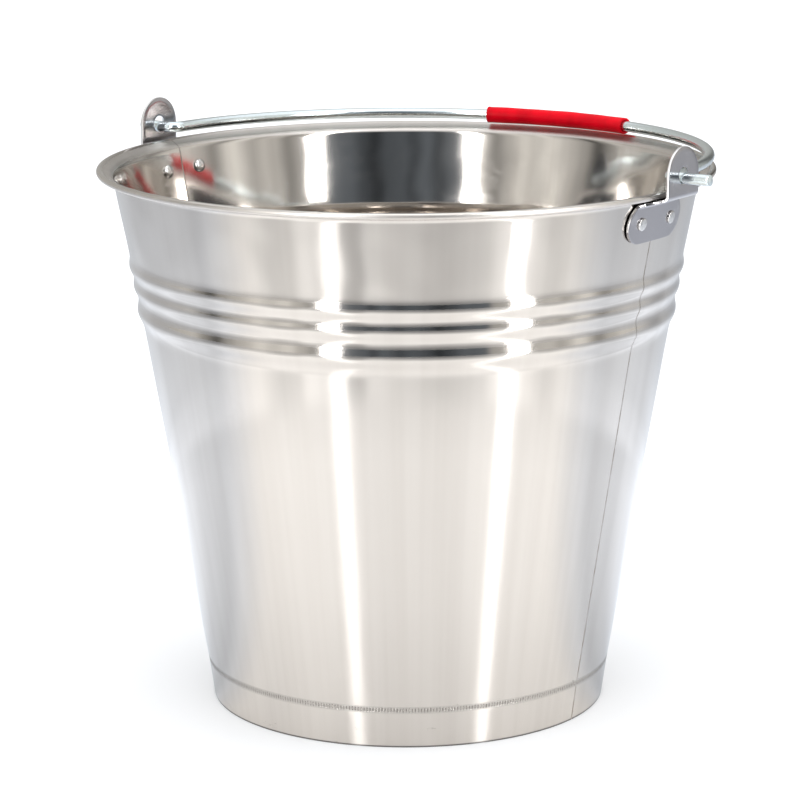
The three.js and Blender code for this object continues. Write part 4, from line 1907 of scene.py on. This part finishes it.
    def _surround(self) -> None:
        """Makes the surround: plain white, but pale walls and a dim room to mirrored rays that run low."""
        world = bpy.data.worlds.new("surround")
        bpy.context.scene.world = world
        world.use_nodes = True
        world.cycles.sampling_method = "NONE"
        tree = world.node_tree
        tree.nodes.clear()
        kit = Nodes(tree)
        direction = kit.add("ShaderNodeTexCoord").outputs["Generated"]
        bearing = self._bearing(kit, direction)
        level = kit.add("ShaderNodeSeparateXYZ", Vector=direction).outputs["Z"]
        walls = kit.profile(bearing, -180.0, 180.0, self._tinted(self.surround, self.warm))
        room = kit.profile(bearing, -30.0, 44.0, self._tinted(self.room, self.cool))
        soft = self.dark_edge
        left_edge = kit.ramp(bearing, self.dark_left - soft, self.dark_left + soft)
        right_edge = kit.ramp(bearing, self.dark_right - soft, self.dark_right + soft, 1.0, 0.0)
        banded = kit.mix(kit.math("MULTIPLY", left_edge, right_edge), walls, room)
        low = kit.ramp(level, self.ceiling_from, self.ceiling_to, 1.0, 0.0)
        seen = kit.mix(low, self.surround_white, banded)
        rays = kit.add("ShaderNodeLightPath")
        colour = kit.mix(rays.outputs["Is Glossy Ray"], self.ambient, seen)
        background = kit.add("ShaderNodeBackground", Color=colour, Strength=1.0)
        output = kit.add("ShaderNodeOutputWorld")
        tree.links.new(background.outputs[0], output.inputs["Surface"])

    @staticmethod
    def _tinted(stops: Sequence[tuple], tint: Sequence[float]) -> list:
        """Turns rows of place and brightness into rows of place and tinted colour."""
        return [(place, tuple(level * part for part in tint)) for place, level in stops]

    def _area(
        self, name: str, place: Vector, target: Vector, size: Sequence[float], radiance: float
    ) -> bpy.types.Object:
        """Adds one area light whose power gives a wanted radiance, which is power / (pi * area).

        Args:
            name: The light's name.
            place: Its middle in metres.
            target: The point that it faces.
            size: Width and height in millimetres.
            radiance: Brightness of its face.

        Returns:
            The light.
        """
        data = bpy.data.lights.new(name, "AREA")
        data.shape = "RECTANGLE"
        data.size = size[0] * MM
        data.size_y = size[1] * MM
        data.energy = radiance * math.pi * data.size * data.size_y
        light = bpy.data.objects.new(name, data)
        bpy.context.scene.collection.objects.link(light)
        light.location = place
        light.rotation_euler = (target - place).to_track_quat("-Z", "Y").to_euler()
        light.visible_camera = False
        return light

    def _lights(self) -> None:
        """Adds the tall strip lights and the soft light overhead."""
        for index, (right, away, width) in enumerate(self.strips):
            place = self._turned(right, away)
            place.z = self.strip_height * MM / 2.0
            target = Vector((0.0, 0.0, place.z))
            size = (width, self.strip_height)
            strip = self._area(f"strip_{index}", place, target, size, self.strip_radiance)
            strip.visible_diffuse = False
        place = self._turned(0.0, -120.0)
        place.z = self.overhead_height * MM
        # a point a millimetre off the vertical keeps the light square to the camera
        target = self._turned(0.0, -119.0)
        self._area("overhead", place, target, (self.overhead_size,) * 2, self.overhead_radiance)

    def build(self) -> None:
        """Sets the camera, the floor, the surround and the lights up."""
        self._camera()
        self._floor()
        self._surround()
        self._lights()
        bpy.context.scene.view_settings.view_transform = "Standard"
        LOG.info("studio: camera, floor, surround and %d lights", len(self.strips) + 1)


def write_sizes() -> None:
    """Updates the view layer."""
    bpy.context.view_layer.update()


def main() -> None:
    """Builds the finishes, the pail's pieces and the studio."""
    effects = Effects()
    sizes = FrameSizes.read()
    shape = WallShape(sizes)
    weld = WeldSteel().material(effects)
    BodyPanels(shape).build(BrightSteel().material(effects), weld)
    WeldTrack(shape).build(TrackSteel().material(effects))
    BasePan(shape).build(PanSteel().material(effects))
    Ears(shape, sizes).build(SatinSteel().material(effects), RivetSteel().material(effects))
    Bail(sizes).build(ZincWire().material(effects), GripPlastic().material(effects))
    Studio().build()
    write_sizes()


if __name__ == "__main__":
    main()
